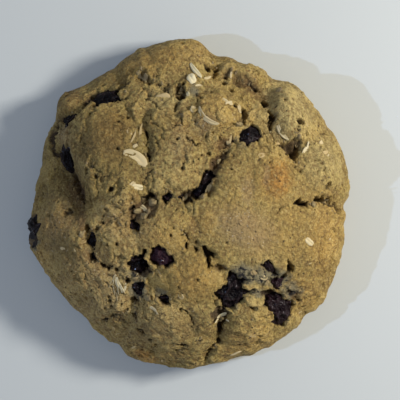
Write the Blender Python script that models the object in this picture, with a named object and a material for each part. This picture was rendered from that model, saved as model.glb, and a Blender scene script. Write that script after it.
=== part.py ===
"""An oatmeal raisin cookie: one thick, cracked, domed drop cookie with raisins baked into it.

Metres, +Z up. The origin is the middle of the flat underside, and the cookie rests on that face.
The crust is a subdivided cube turned into a turned dome profile, then pushed along the dome's
normals by the lumps, cracks and raisin pits that are listed below in millimetres on the plan.
Each raisin is a solid of its own and lies in a socket that a Boolean cuts for it.
"""

import math
from collections import namedtuple

import bmesh
import bpy
import numpy as np
from mathutils import Matrix, Vector, noise

MM = 0.001

# ---- Driving dimensions -------------------------------------------------------------------
RADIUS = 39.7 * MM  # mean radius of the widest line
CROWN = 22.0 * MM  # height of the dome before its lumps are added
WAIST = 6.5 * MM  # height of the widest line over the underside
FOOT_INSET = 2.2 * MM  # how far the flat underside stops short of the widest line
DOME_FULLNESS = 2.5  # 2 is a round dome, more is flatter on top
DOME_SHOULDER = 0.58  # how steeply the dome comes down to the widest line
SOCKET_GAP = 0.32 * MM  # clear space between a raisin and the dough around it

# ---- Mesh density -------------------------------------------------------------------------
CUBE_CUTS = 15  # cuts on each edge of the starting cube
FOOT_SHARE = 0.25  # share of the even vertex density that the underside gets
DETAIL_REACH = 0.7  # mm round a crack or pit within which the mesh is twice as fine
ROUTE_REACH = 0.5  # mm within which a vertex settles on a crack's deepest line
MERGE_REACH = 0.08 * MM  # vertices closer than this become one
RAISIN_SEGMENTS = 10
RAISIN_RINGS = 8
DOME_STEPS = 300  # points on the half profile from the top to the widest line
HEEL_STEPS = 60  # points on the profile below the widest line, and on the underside

# ---- The widest line, seen from above -------------------------------------------------------
# Bulges and dents of the outline: direction, half width and depth.
Bulge = namedtuple("Bulge", "degrees reach_degrees mm")
BULGES = (
    Bulge(14, 26, 1.0),
    Bulge(66, 24, -2.4),
    Bulge(94, 15, 1.5),
    Bulge(122, 14, -1.0),
    Bulge(140, 10, 1.9),
    Bulge(167, 30, -1.9),
    Bulge(194, 13, 1.6),
    Bulge(222, 20, -1.3),
    Bulge(251, 12, 1.6),
    Bulge(268, 16, 1.2),
    Bulge(315, 52, 1.3),
    Bulge(353, 10, -1.0),
)

# ---- The top, in millimetres on the plan ----------------------------------------------------
# Rounded lumps that the dough rose into. Where two meet, they meet in a crease.
Lump = namedtuple("Lump", "x y length width yaw height")
LUMPS = (
    Lump(17.5, -2.5, 19.5, 17.5, 60, 2.4),
    Lump(-20.5, 12.5, 13.5, 10.0, 110, 2.8),
    Lump(-4.0, 14.0, 13.0, 8.5, 75, 1.8),
    Lump(6.5, 21.5, 7.5, 7.0, 0, 2.2),
    Lump(-9.0, 34.0, 15.0, 5.5, 20, 1.4),
    Lump(24.0, 21.5, 10.0, 7.5, 110, 2.2),
    Lump(14.5, 30.5, 8.0, 4.0, -20, 1.2),
    Lump(-5.5, -7.5, 8.5, 6.5, 20, 2.0),
    Lump(0.5, -17.5, 9.0, 8.5, 45, 2.5),
    Lump(-3.5, -28.5, 11.0, 7.5, 0, 1.8),
    Lump(-24.0, -18.0, 14.0, 9.5, 125, 1.8),
    Lump(14.5, -29.0, 8.0, 6.0, 20, 1.4),
    Lump(-17.5, -9.5, 6.5, 5.0, -30, 1.6),
    Lump(-17.0, 1.5, 7.0, 6.0, 90, 1.8),
    Lump(31.0, 8.0, 9.0, 7.0, 90, 1.6),
)

# Cracks between the lumps: full width, depth, and the points that the route bends at.
Crack = namedtuple("Crack", "width depth route")
CRACKS = (
    Crack(3.2, 4.4, ((12, 13.5), (9, 11), (6, 7.5), (4, 4), (1, 2), (-5.5, 1), (-9, 0.5),
                     (-11.5, -1), (-13.5, -3.5), (-13.5, -6))),
    Crack(2.0, 2.6, ((-24.5, 25.5), (-27.5, 23.5), (-30, 21), (-32, 18), (-31.5, 14), (-30, 10.5),
                     (-28, 7), (-26, 4), (-25.5, 1), (-25, -2.5), (-24.5, -6), (-24, -9),
                     (-23, -12.5), (-21, -14.5), (-18.5, -15.5), (-16, -16))),
    Crack(1.2, 1.4, ((-24.5, -5.5), (-21.5, -5), (-18.5, -4.5), (-16.5, -5), (-13.5, -5))),
    Crack(1.5, 2.0, ((-20, 29.5), (-16.5, 30.5), (-12.5, 30.5), (-9.5, 30), (-6.5, 29),
                     (-3.5, 30.5), (-0.5, 31.5))),
    Crack(2.8, 2.8, ((3.5, 34), (8, 30.5), (12.5, 29), (17, 27.5), (18.5, 25.5), (19.5, 22),
                     (20, 19.5), (21.5, 17), (23.5, 14), (25.5, 13), (26, 10))),
    Crack(2.0, 3.2, ((24.5, 0), (27, 0), (30, 0.5), (31.5, 1), (34, 0.5), (36, 0.5),
                     (37.5, -1), (39, -2.5))),
    Crack(1.4, 2.6, ((-1, -7), (0, -10), (2, -11), (4, -12), (5.5, -14), (7, -15.5), (9, -17))),
    Crack(1.6, 2.6, ((9.5, -23.5), (8, -27), (7, -30), (8, -32.5), (6.5, -35), (4.5, -37),
                     (2.5, -39))),
    Crack(1.1, 1.6, ((-11.5, 22), (-10.5, 19.5), (-10, 15.5), (-9.5, 12), (-9.5, 9.5))),
    Crack(1.4, 1.8, ((-2, 27), (-3, 24), (-2.5, 20.5), (-0.5, 18), (2, 15.5), (4.5, 14))),
    Crack(1.3, 1.6, ((-21.5, -29), (-19, -27.5), (-16, -27), (-13.5, -28))),
    Crack(1.2, 1.5, ((-15, -21.5), (-13.5, -24.5), (-14, -27.5), (-13, -31))),
    Crack(1.4, 1.8, ((24, -14.5), (24.5, -16.5), (23.5, -18.5), (21.5, -20.5))),
)
END_TAPER = 3.0  # mm over which a crack closes towards its ends
END_OPENING = 0.35  # how open it still is at the very end
FLANK = 0.8  # how far a crack's sloping sides reach, as a share of its width
SHOULDER_WIDTH = 1.3  # how far its rounded shoulders reach, as a share of its width
SHOULDER_DEPTH = 0.3  # share of the crack's depth that the shoulders take

# Raisins: a point on the crust, how deep the middle lies under it, half sizes, the turn of the
# long axis, and the half length and half width of the pit that shows the raisin.
Raisin = namedtuple("Raisin", "x y sink length width thickness yaw pit_length pit_width")
RAISINS = (
    Raisin(-20.9, 25.8, 2.9, 4.6, 3.4, 2.5, 15, 3.0, 2.4),
    Raisin(-29.6, 21.2, 2.8, 3.8, 2.6, 2.3, 20, 2.8, 1.7),
    Raisin(-30.2, 12.4, 2.9, 4.2, 2.6, 2.3, 95, 2.8, 1.8),
    Raisin(-38.2, -5.5, 1.2, 4.8, 2.8, 2.2, 0, 2.4, 2.0),
    Raisin(14.4, 16.3, 2.7, 4.4, 3.2, 2.5, 20, 3.3, 2.3),
    Raisin(4.6, 5.8, 4.8, 5.0, 2.6, 2.3, 57, 4.0, 1.7),
    Raisin(-4.8, 1.8, 4.4, 3.8, 2.5, 2.1, 0, 2.2, 1.7),
    Raisin(-13.1, -14.4, 2.9, 3.4, 2.8, 2.3, 30, 3.3, 2.5),
    Raisin(-6.5, -12.8, 2.6, 3.4, 2.4, 2.2, -25, 3.1, 2.1),
    Raisin(-12.1, -20.6, 3.0, 2.9, 2.5, 2.2, 70, 2.0, 1.8),
    Raisin(-5.8, -23.2, 3.1, 3.1, 2.3, 2.1, -20, 1.8, 1.5),
    Raisin(10.7, -21.2, 2.9, 5.4, 4.8, 2.8, 60, 4.9, 4.4),
    Raisin(22.4, -26.8, 2.7, 5.0, 4.0, 2.7, 130, 4.5, 3.8),
    Raisin(21.9, -19.7, 2.8, 2.4, 1.9, 2.0, 60, 2.0, 1.7),
    Raisin(19.3, -14.8, 2.5, 2.2, 1.8, 1.8, 130, 1.8, 1.5),
    Raisin(-23.8, -10.2, 3.4, 3.8, 2.5, 2.1, 105, 2.4, 1.6),
    Raisin(-13.4, -5.6, 3.5, 3.0, 2.4, 2.1, 20, 1.8, 1.6),
)
PIT_UNDERCUT = 1.4  # mm from a raisin's top down to the floor of the pit that shows it
WRINKLE_HEIGHT = 0.14  # depth of a raisin's folds as a share of its half thickness
WRINKLES_PER_RAISIN = 2.6  # how many folds cross a raisin

# ---- Finishes -------------------------------------------------------------------------------
DOUGH_COLOUR = (0.36, 0.23, 0.085, 1.0)
RAISIN_COLOUR = (0.018, 0.010, 0.010, 1.0)


def smooth_step(low, high, value):
    """0 up to low, 1 from high on, and a smooth rise between."""
    t = np.clip((value - low) / (high - low), 0.0, 1.0)
    return t * t * (3.0 - 2.0 * t)


def outline(angle):
    """The cookie's radius at the widest line in each direction, in metres."""
    degrees = np.degrees(angle)
    radius = np.full_like(degrees, RADIUS)
    for bulge in BULGES:
        away = np.abs((degrees - bulge.degrees + 180.0) % 360.0 - 180.0)
        radius += bulge.mm * MM * (1.0 - smooth_step(0.0, bulge.reach_degrees, away))
    return radius


def dome_profile():
    """Half of the turned section from the top's middle to the underside's middle.

    Returns the share of the whole area that lies above each point, the point's share of the
    outline's radius, its height, and the outward normal's two parts."""
    turn = np.linspace(0.0, math.pi / 2, DOME_STEPS)
    dome = np.sin(turn) ** (2 / DOME_FULLNESS)
    dome_z = WAIST + (CROWN - WAIST) * np.cos(turn) ** (2 * DOME_SHOULDER)
    turn = np.linspace(0.0, math.pi / 2, HEEL_STEPS)[1:]
    heel = 1.0 - FOOT_INSET / RADIUS * (1.0 - np.cos(turn))
    heel_z = WAIST * (1.0 - np.sin(turn))
    foot = np.linspace(heel[-1], 0.0, HEEL_STEPS)[1:]
    share = np.concatenate([dome, heel, foot])
    height = np.concatenate([dome_z, heel_z, np.zeros(len(foot))])
    density = np.ones(len(share) - 1)
    density[-len(foot):] = FOOT_SHARE
    step_out = np.diff(share) * RADIUS
    step_up = np.diff(height)
    step = np.hypot(step_out, step_up)
    ring = step * (share[1:] + share[:-1]) * density
    above = np.concatenate([[0.0], np.cumsum(ring)])
    normal_out = np.concatenate([[0.0], -step_up / step])
    normal_up = np.concatenate([[1.0], step_out / step])
    return above / above[-1], share, height, normal_out, normal_up


PROFILE = dome_profile()


def outward(angle, out, up):
    """Normals that lean out by one part and up by another, in each direction."""
    normal = np.column_stack([np.cos(angle) * out, np.sin(angle) * out, up])
    return normal / np.linalg.norm(normal, axis=1)[:, None]


def on_dome(direction):
    """Points of a unit sphere carried to the plain dome: places and outward normals."""
    above, share, height, normal_out, normal_up = PROFILE
    depth = np.sqrt(np.clip((1.0 - direction[:, 2]) / 2.0, 0.0, 1.0))
    key = np.sqrt(above)
    angle = np.arctan2(direction[:, 1], direction[:, 0])
    radius = outline(angle) * np.interp(depth, key, share)
    along = np.column_stack([np.cos(angle), np.sin(angle)])
    place = np.column_stack([along * radius[:, None], np.interp(depth, key, height)])
    out = np.interp(depth, key, normal_out)
    up = np.interp(depth, key, normal_up)
    return place, outward(angle, out, up)


def dome_over(x, y):
    """The plain dome's places and normals over points of the plan, in metres."""
    _, share, height, normal_out, normal_up = [values[:DOME_STEPS] for values in PROFILE]
    angle = np.arctan2(y, x)
    reach = np.hypot(x, y) / outline(angle)
    place = np.column_stack([x, y, np.interp(reach, share, height)])
    out = np.interp(reach, share, normal_out)
    up = np.interp(reach, share, normal_up)
    return place, outward(angle, out, up)


def ellipse_distance(x, y, shape, length, width):
    """0 at an ellipse's middle and 1 on its edge, for points on the plan in millimetres."""
    turn = math.radians(shape.yaw)
    along = (x - shape.x) * math.cos(turn) + (y - shape.y) * math.sin(turn)
    across = (y - shape.y) * math.cos(turn) - (x - shape.x) * math.sin(turn)
    return np.hypot(along / length, across / width)


def lump_height(x, y):
    """Height that the lumps add to the dome: the highest lump at each place, in millimetres."""
    height = np.zeros_like(x)
    for lump in LUMPS:
        away = ellipse_distance(x, y, lump, lump.length, lump.width)
        height = np.maximum(height, lump.height * (1.0 - np.minimum(away, 1.0) ** 2.2))
    return height


def nearest_on_route(x, y, crack):
    """The nearest point of a crack's route, the distance to it, and how open the crack is."""
    points = np.array(crack.route, float)
    lengths = np.linalg.norm(np.diff(points, axis=0), axis=1)
    starts = np.concatenate([[0.0], np.cumsum(lengths)])
    distance = np.full_like(x, np.inf)
    travelled = np.zeros_like(x)
    near = np.column_stack([x, y])
    for first, last, start, length in zip(points[:-1], points[1:], starts, lengths):
        run = (last - first) / length
        along = np.clip((x - first[0]) * run[0] + (y - first[1]) * run[1], 0.0, length)
        spot = first + along[:, None] * run
        away = np.hypot(x - spot[:, 0], y - spot[:, 1])
        closer = away < distance
        distance = np.where(closer, away, distance)
        travelled = np.where(closer, start + along, travelled)
        near = np.where(closer[:, None], spot, near)
    to_end = np.minimum(travelled, starts[-1] - travelled)
    return near, distance, END_OPENING + (1.0 - END_OPENING) * smooth_step(0.0, END_TAPER, to_end)


def crack_depth(x, y):
    """Depth of the cracks and of their rounded shoulders, in millimetres."""
    depth = np.zeros_like(x)
    for crack in CRACKS:
        _, distance, opening = nearest_on_route(x, y, crack)
        across = distance / crack.width
        flank = np.clip(1.0 - across / FLANK, 0.0, 1.0)
        shoulder = 1.0 - smooth_step(0.0, SHOULDER_WIDTH, across)
        share = SHOULDER_DEPTH * shoulder + (1.0 - SHOULDER_DEPTH) * flank
        depth = np.maximum(depth, crack.depth * opening * share)
    return depth


def pit_depth(x, y):
    """Depth of the pits that show the raisins, in millimetres."""
    depth = np.zeros_like(x)
    for raisin in RAISINS:
        away = ellipse_distance(x, y, raisin, raisin.pit_length, raisin.pit_width)
        floor = raisin.sink - raisin.thickness + PIT_UNDERCUT
        depth = np.maximum(depth, floor * (1.0 - smooth_step(0.55, 1.15, away)))
    return depth


def relief(x, y):
    """What is added to the plain dome along its normal, in millimetres."""
    return lump_height(x, y) - np.maximum(crack_depth(x, y), pit_depth(x, y))


def near_detail(x, y):
    """Whether a place on the plan lies in or beside a crack or a pit."""
    near = np.zeros(x.shape, bool)
    for crack in CRACKS:
        near |= nearest_on_route(x, y, crack)[1] < crack.width * FLANK + DETAIL_REACH
    for raisin in RAISINS:
        reach_length = raisin.pit_length + DETAIL_REACH
        reach_width = raisin.pit_width + DETAIL_REACH
        near |= ellipse_distance(x, y, raisin, reach_length, reach_width) < 1.0
    return near


def settle_on_routes(x, y):
    """Moves the vertices beside a crack's route onto it, so that its bottom is one line."""
    plan = np.column_stack([x, y])
    for crack in CRACKS:
        near, distance, opening = nearest_on_route(x, y, crack)
        settles = (distance < ROUTE_REACH) & (opening > END_OPENING)
        plan = np.where(settles[:, None], near, plan)
    return plan[:, 0], plan[:, 1]


def on_sphere(corners):
    """Points of a cube carried to the unit sphere, evenly spread."""
    spread = np.tan(np.clip(corners, -1.0, 1.0) * math.pi / 4)
    return spread / np.linalg.norm(spread, axis=1)[:, None]


def corners_of(bm):
    return np.array([vertex.co[:] for vertex in bm.verts])


def halve_near_detail(bm):
    """Halves the cube's edges where the crust will hold a crack or a pit."""
    middles = np.array([(edge.verts[0].co + edge.verts[1].co)[:] for edge in bm.edges]) / 2
    place, normal = on_dome(on_sphere(middles))
    wanted = near_detail(place[:, 0] / MM, place[:, 1] / MM) & (normal[:, 2] > -0.2)
    edges = [edge for edge, keep in zip(bm.edges, wanted) if keep]
    bmesh.ops.subdivide_edges(bm, edges=edges, cuts=1, use_grid_fill=True)


def material(name, colour, roughness):
    made = bpy.data.materials.new(name)
    made.use_nodes = True
    shader = made.node_tree.nodes["Principled BSDF"]
    shader.inputs["Base Color"].default_value = colour
    shader.inputs["Roughness"].default_value = roughness
    shader.inputs["Metallic"].default_value = 0.0
    return made


def keep_in(collection, obj):
    """Moves a new object from the scene's collection to the one named."""
    for holder in obj.users_collection:
        holder.objects.unlink(obj)
    collection.objects.link(obj)


def make_crust(collection, dough):
    """The whole cookie but for its raisins, as one solid."""
    bpy.ops.mesh.primitive_cube_add(size=2.0)
    crust = bpy.context.object
    crust.name = "cookie"
    bm = bmesh.new()
    bm.from_mesh(crust.data)
    bmesh.ops.subdivide_edges(bm, edges=bm.edges[:], cuts=CUBE_CUTS, use_grid_fill=True)
    halve_near_detail(bm)
    place, normal = on_dome(on_sphere(corners_of(bm)))
    top = normal[:, 2] > 0.1
    x, y = settle_on_routes(place[top, 0] / MM, place[top, 1] / MM)
    place[top], normal[top] = dome_over(x * MM, y * MM)
    lift = relief(place[:, 0] / MM, place[:, 1] / MM) * MM
    held = smooth_step(0.4 * MM, 4.0 * MM, place[:, 2])
    place += normal * (lift * held)[:, None]
    for vertex, spot in zip(bm.verts, place):
        vertex.co = spot
    bmesh.ops.remove_doubles(bm, verts=bm.verts[:], dist=MERGE_REACH)
    bmesh.ops.triangulate(bm, faces=bm.faces[:])
    bm.to_mesh(crust.data)
    bm.free()
    crust.data.shade_smooth()
    crust.data.materials.append(dough)
    keep_in(collection, crust)
    return crust


def raisin_pose(raisin):
    """Where a raisin lies: its long axis turned by yaw, its flat side along the crust."""
    x, y = np.array([raisin.x]), np.array([raisin.y])
    place, normal = dome_over(x * MM, y * MM)
    normal = Vector(normal[0])
    middle = Vector(place[0]) + normal * ((lump_height(x, y)[0] - raisin.sink) * MM)
    turn = math.radians(raisin.yaw)
    if normal.z < 0.5:
        long_axis = Vector((0.0, 0.0, 1.0)).cross(normal)
    else:
        long_axis = Vector((math.cos(turn), math.sin(turn), 0.0))
    long_axis = (long_axis - normal * long_axis.dot(normal)).normalized()
    side_axis = normal.cross(long_axis)
    axes = Matrix((long_axis, side_axis, normal)).transposed().to_4x4()
    return Matrix.Translation(middle) @ axes


def make_raisin(name, index, raisin, swell):
    """A wrinkled, flattened ball. Swell moves its whole surface outwards."""
    bpy.ops.mesh.primitive_uv_sphere_add(segments=RAISIN_SEGMENTS, ring_count=RAISIN_RINGS)
    made = bpy.context.object
    made.name = name
    half_sizes = Vector((raisin.length, raisin.width, raisin.thickness)) * MM
    fold_shift = Vector((7.3 * index, 0.0, 0.0))
    for vertex in made.data.vertices:
        unit = vertex.co.copy()
        fold = noise.noise(unit * WRINKLES_PER_RAISIN / 2 + fold_shift)
        size = 1.0 + WRINKLE_HEIGHT * fold
        vertex.co = Vector(a * b for a, b in zip(unit, half_sizes)) * size
        vertex.co += unit * swell
    made.matrix_world = raisin_pose(raisin)
    made.data.shade_smooth()
    return made


def make_cookie():
    for obj in list(bpy.data.objects):
        bpy.data.objects.remove(obj)
    parts = bpy.data.collections.new("oatmeal_raisin_cookie")
    cutters = bpy.data.collections.new("raisin_sockets")
    for collection in (parts, cutters):
        bpy.context.scene.collection.children.link(collection)

    dough = material("baked_dough", DOUGH_COLOUR, 0.75)
    skin = material("raisin_skin", RAISIN_COLOUR, 0.4)
    crust = make_crust(parts, dough)
    for index, raisin in enumerate(RAISINS, start=1):
        fruit = make_raisin(f"raisin_{index:02d}", index, raisin, 0.0)
        fruit.data.materials.append(skin)
        keep_in(parts, fruit)
        socket = make_raisin(f"socket_{index:02d}", index, raisin, SOCKET_GAP)
        socket.hide_render = True
        socket.display_type = "WIRE"
        keep_in(cutters, socket)
        cut = crust.modifiers.new(f"socket_{index:02d}", "BOOLEAN")
        cut.operation = "DIFFERENCE"
        cut.object = socket


make_cookie()
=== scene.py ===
"""The looks of an oatmeal raisin cookie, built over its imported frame.

The crust is one fine mesh: a subdivided cube carried to the cookie's dome, then pushed along the
dome's normals by lumps, cracks, raisin hollows, baked-in oat flakes and pores. Raisins, loose oat
flakes and crumbs are meshes of their own. Lengths in the lists are millimetres on the plan.
"""

import math
from collections import namedtuple

import bpy
import numpy as np
from bpy.props import FloatProperty, FloatVectorProperty, IntProperty, PointerProperty
from bpy.types import Operator, Panel, PropertyGroup
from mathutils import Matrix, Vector, noise
from mathutils.bvhtree import BVHTree


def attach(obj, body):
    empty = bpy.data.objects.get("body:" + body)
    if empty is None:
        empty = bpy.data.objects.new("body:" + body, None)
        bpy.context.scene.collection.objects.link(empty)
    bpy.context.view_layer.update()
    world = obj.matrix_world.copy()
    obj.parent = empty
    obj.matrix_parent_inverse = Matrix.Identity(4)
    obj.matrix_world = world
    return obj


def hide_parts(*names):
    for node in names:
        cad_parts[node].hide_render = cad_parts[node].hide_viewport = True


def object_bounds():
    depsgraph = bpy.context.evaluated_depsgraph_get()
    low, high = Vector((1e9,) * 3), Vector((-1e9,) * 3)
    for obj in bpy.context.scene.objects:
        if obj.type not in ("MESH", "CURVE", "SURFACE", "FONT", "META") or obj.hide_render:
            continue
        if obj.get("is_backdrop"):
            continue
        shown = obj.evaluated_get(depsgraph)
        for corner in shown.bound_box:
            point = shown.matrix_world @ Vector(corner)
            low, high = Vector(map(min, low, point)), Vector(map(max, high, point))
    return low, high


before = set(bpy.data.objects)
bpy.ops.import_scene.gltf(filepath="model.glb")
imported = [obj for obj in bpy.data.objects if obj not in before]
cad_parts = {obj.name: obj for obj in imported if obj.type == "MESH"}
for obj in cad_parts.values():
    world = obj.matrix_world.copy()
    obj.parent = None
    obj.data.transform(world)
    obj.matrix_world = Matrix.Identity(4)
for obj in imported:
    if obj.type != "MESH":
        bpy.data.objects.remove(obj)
CAD_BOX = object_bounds()

bl_info = {
    "name": "Oatmeal Raisin Cookie",
    "version": (1, 0, 0),
    "blender": (4, 5, 0),
    "location": "3D View > Sidebar > Cookie",
    "description": "Bakes the crust, raisins, oat flakes and crumbs of one drop cookie",
    "category": "Add Mesh",
}


def table(kind, *rows):
    """Rows of numbers as records of one kind."""
    return [kind(*row) for row in rows]


MM = 0.001
PURPLE = {"raisin_09": 0.6, "raisin_13": 0.12, "raisin_14": 0.3}  # how red a raisin's skin is
RAISIN_NODES = sorted(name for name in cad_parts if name.startswith("raisin"))

# ---- The plain dome, as in the frame ----------------------------------------------------------
RADIUS = 39.7  # mean radius of the widest line
CROWN = 22.0  # height of the dome before its lumps are added
WAIST = 6.5  # height of the widest line over the underside
FOOT_INSET = 2.2  # how far the flat underside stops short of the widest line
DOME_FULLNESS = 2.5
DOME_SHOULDER = 0.58
FOOT_SHARE = 0.06  # share of the top's vertex density that the underside gets
SIDE_SHARE = 0.45  # share of it that steep sides get
DOME_STEPS = 300
HEEL_STEPS = 60

# Bulges and dents of the widest line: direction, half width and depth.
Bulge = namedtuple("Bulge", "degrees reach_degrees mm")
BULGES = table(
    Bulge,
    (14, 26, 1), (66, 24, -2.4), (94, 15, 1.5), (122, 14, -1), (140, 10, 1.9), (167, 30, -1.9),
    (194, 13, 1.6), (222, 20, -1.3), (251, 12, 1.6), (268, 16, 1.2), (315, 52, 1.3), (353, 10, -1),
)

# Small notches and frills of the baked edge.
FRILLS = table(
    Bulge,
    (1, 7, -1.1), (29, 3, -0.5), (42, 7, -1.2), (54, 8, -0.6), (62, 3, 0.4), (67, 4, 0.5),
    (80, 7, -1.2), (88, 3, 0.3), (108, 3, 0.7), (119, 3, -0.5), (157, 12, 0.7), (189, 4, -0.8),
    (226, 6, -0.7), (244, 4, -1), (270, 4, 0.3), (292, 5, 0.5), (300, 3, 0.4), (316, 5, -1),
    (325, 4, 0.5), (344, 4, -0.6),
)

# ---- The top ----------------------------------------------------------------------------------
# An ellipse on the plan with an amount: a lump's height, or the strength of a browned patch.
Patch = namedtuple("Patch", "x y length width yaw amount")
LUMPS = table(
    Patch,
    (17.5, -2.5, 19.5, 17.5, 60, 2.4), (-20.5, 12.5, 13.5, 10, 110, 2.8),
    (-4, 14, 13, 8.5, 75, 1.8), (6.5, 21.5, 7.5, 7, 0, 2.2), (-9, 34, 15, 5.5, 20, 1.4),
    (24, 21.5, 10, 7.5, 110, 2.2), (14.5, 30.5, 8, 4, -20, 1.2), (-5.5, -7.5, 8.5, 6.5, 20, 2),
    (0.5, -17.5, 9, 8.5, 45, 2.5), (-3.5, -28.5, 11, 7.5, 0, 1.8), (-24, -18, 14, 9.5, 125, 1.8),
    (14.5, -29, 8, 6, 20, 1.4), (-17.5, -9.5, 6.5, 5, -30, 1.6), (-17, 1.5, 7, 6, 90, 1.8),
    (31, 8, 9, 7, 90, 1.6),
)
# Where the dough rose smooth and tight: little oat relief shows through it.
CALM = table(
    Patch,
    (17, -3, 19, 16, 60, 1), (0.5, -17, 8, 7.5, 45, 0.8), (-3, -9, 7, 5, 20, 0.7),
    (-20.5, 14, 8.5, 6.5, 110, 0.7), (30, 3, 10, 8, 90, 0.8), (26, -10, 12, 8, 60, 0.8),
    (-9, 35, 13, 5, 15, 0.7), (-32, -8, 5, 8, 20, 0.5), (32.5, 10.5, 5.5, 6.5, 0, 0.5),
    (24, 24, 7, 6, 110, 0.4),
)
# Small knobs that stand on the lumps.
KNOBS = table(
    Patch,
    (-13.6, 7.4, 3.8, 3.4, 0, 0.9), (-14.2, 3, 3, 2.2, 0, 0.8), (-11.4, 3.3, 1.7, 1.5, 0, 0.6),
    (-11.6, 15.8, 1.5, 4.2, 0, 0.5), (-17.5, 19.5, 3.2, 2.4, 0, 0.4), (-16.5, 0.5, 2.4, 2, 0, 0.5),
    (-23.5, 4, 2.4, 2.8, 0, 0.5), (-30.6, 17.4, 2.6, 4, 0, 0.9), (-29.5, 24.5, 3.2, 2.6, 30, 0.7),
    (16.6, 5.4, 1.5, 4.4, -8, 0.65), (21.3, 5.4, 3.2, 4.6, -8, 0.7),
    (4.4, -4.6, 2.6, 3.8, 0, 0.45), (7, 22.2, 6, 5.2, 30, 1.3), (24.6, 22.6, 7, 3.4, 108, 0.7),
    (24, 23.4, 4.2, 7.4, -6, 1.25), (30.4, 5.4, 3.4, 2.6, 0, 0.5), (-34.2, -6.6, 3.8, 6, 6, 0.7),
    (15.4, -13.6, 2.2, 1.3, 10, 0.6), (13.8, -16, 2, 1.5, 0, 0.5), (17.4, -17.6, 2.3, 1.7, 0, 0.8),
    (22.2, -15.3, 1.7, 1.9, 20, 0.8), (16.6, -22.8, 2.4, 2.8, 30, 0.45),
    (14.2, -20.1, 1.6, 0.6, -20, 0.5), (22.8, -20.9, 1.6, 1, -20, 0.6),
    (14.5, -28, 3.6, 2.8, 0, 0.5), (6.4, 24, 2.8, 2.2, 0, 0.4), (9.6, 20.4, 2.6, 2.2, 0, 0.4),
    (24.6, 19.8, 3.2, 3.6, 0, 0.6), (30.6, 14, 2.2, 3, 20, 0.5), (-5.2, -15, 2.6, 2, 0, 0.4),
    (-8.6, -14.9, 1.1, 1.8, 20, 0.7), (-8, -27.5, 3.2, 2.4, 20, 0.5), (-17, -24.5, 3, 2.2, 0, 0.4),
    (2.6, -20.5, 3.4, 2.6, 0, 0.4), (1.4, -16.4, 6.6, 6, 30, 0.9), (0, 9.8, 2.8, 2.2, 0, 0.3),
    (5.6, 13.6, 2, 1.7, 0, 0.4),
)

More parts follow.
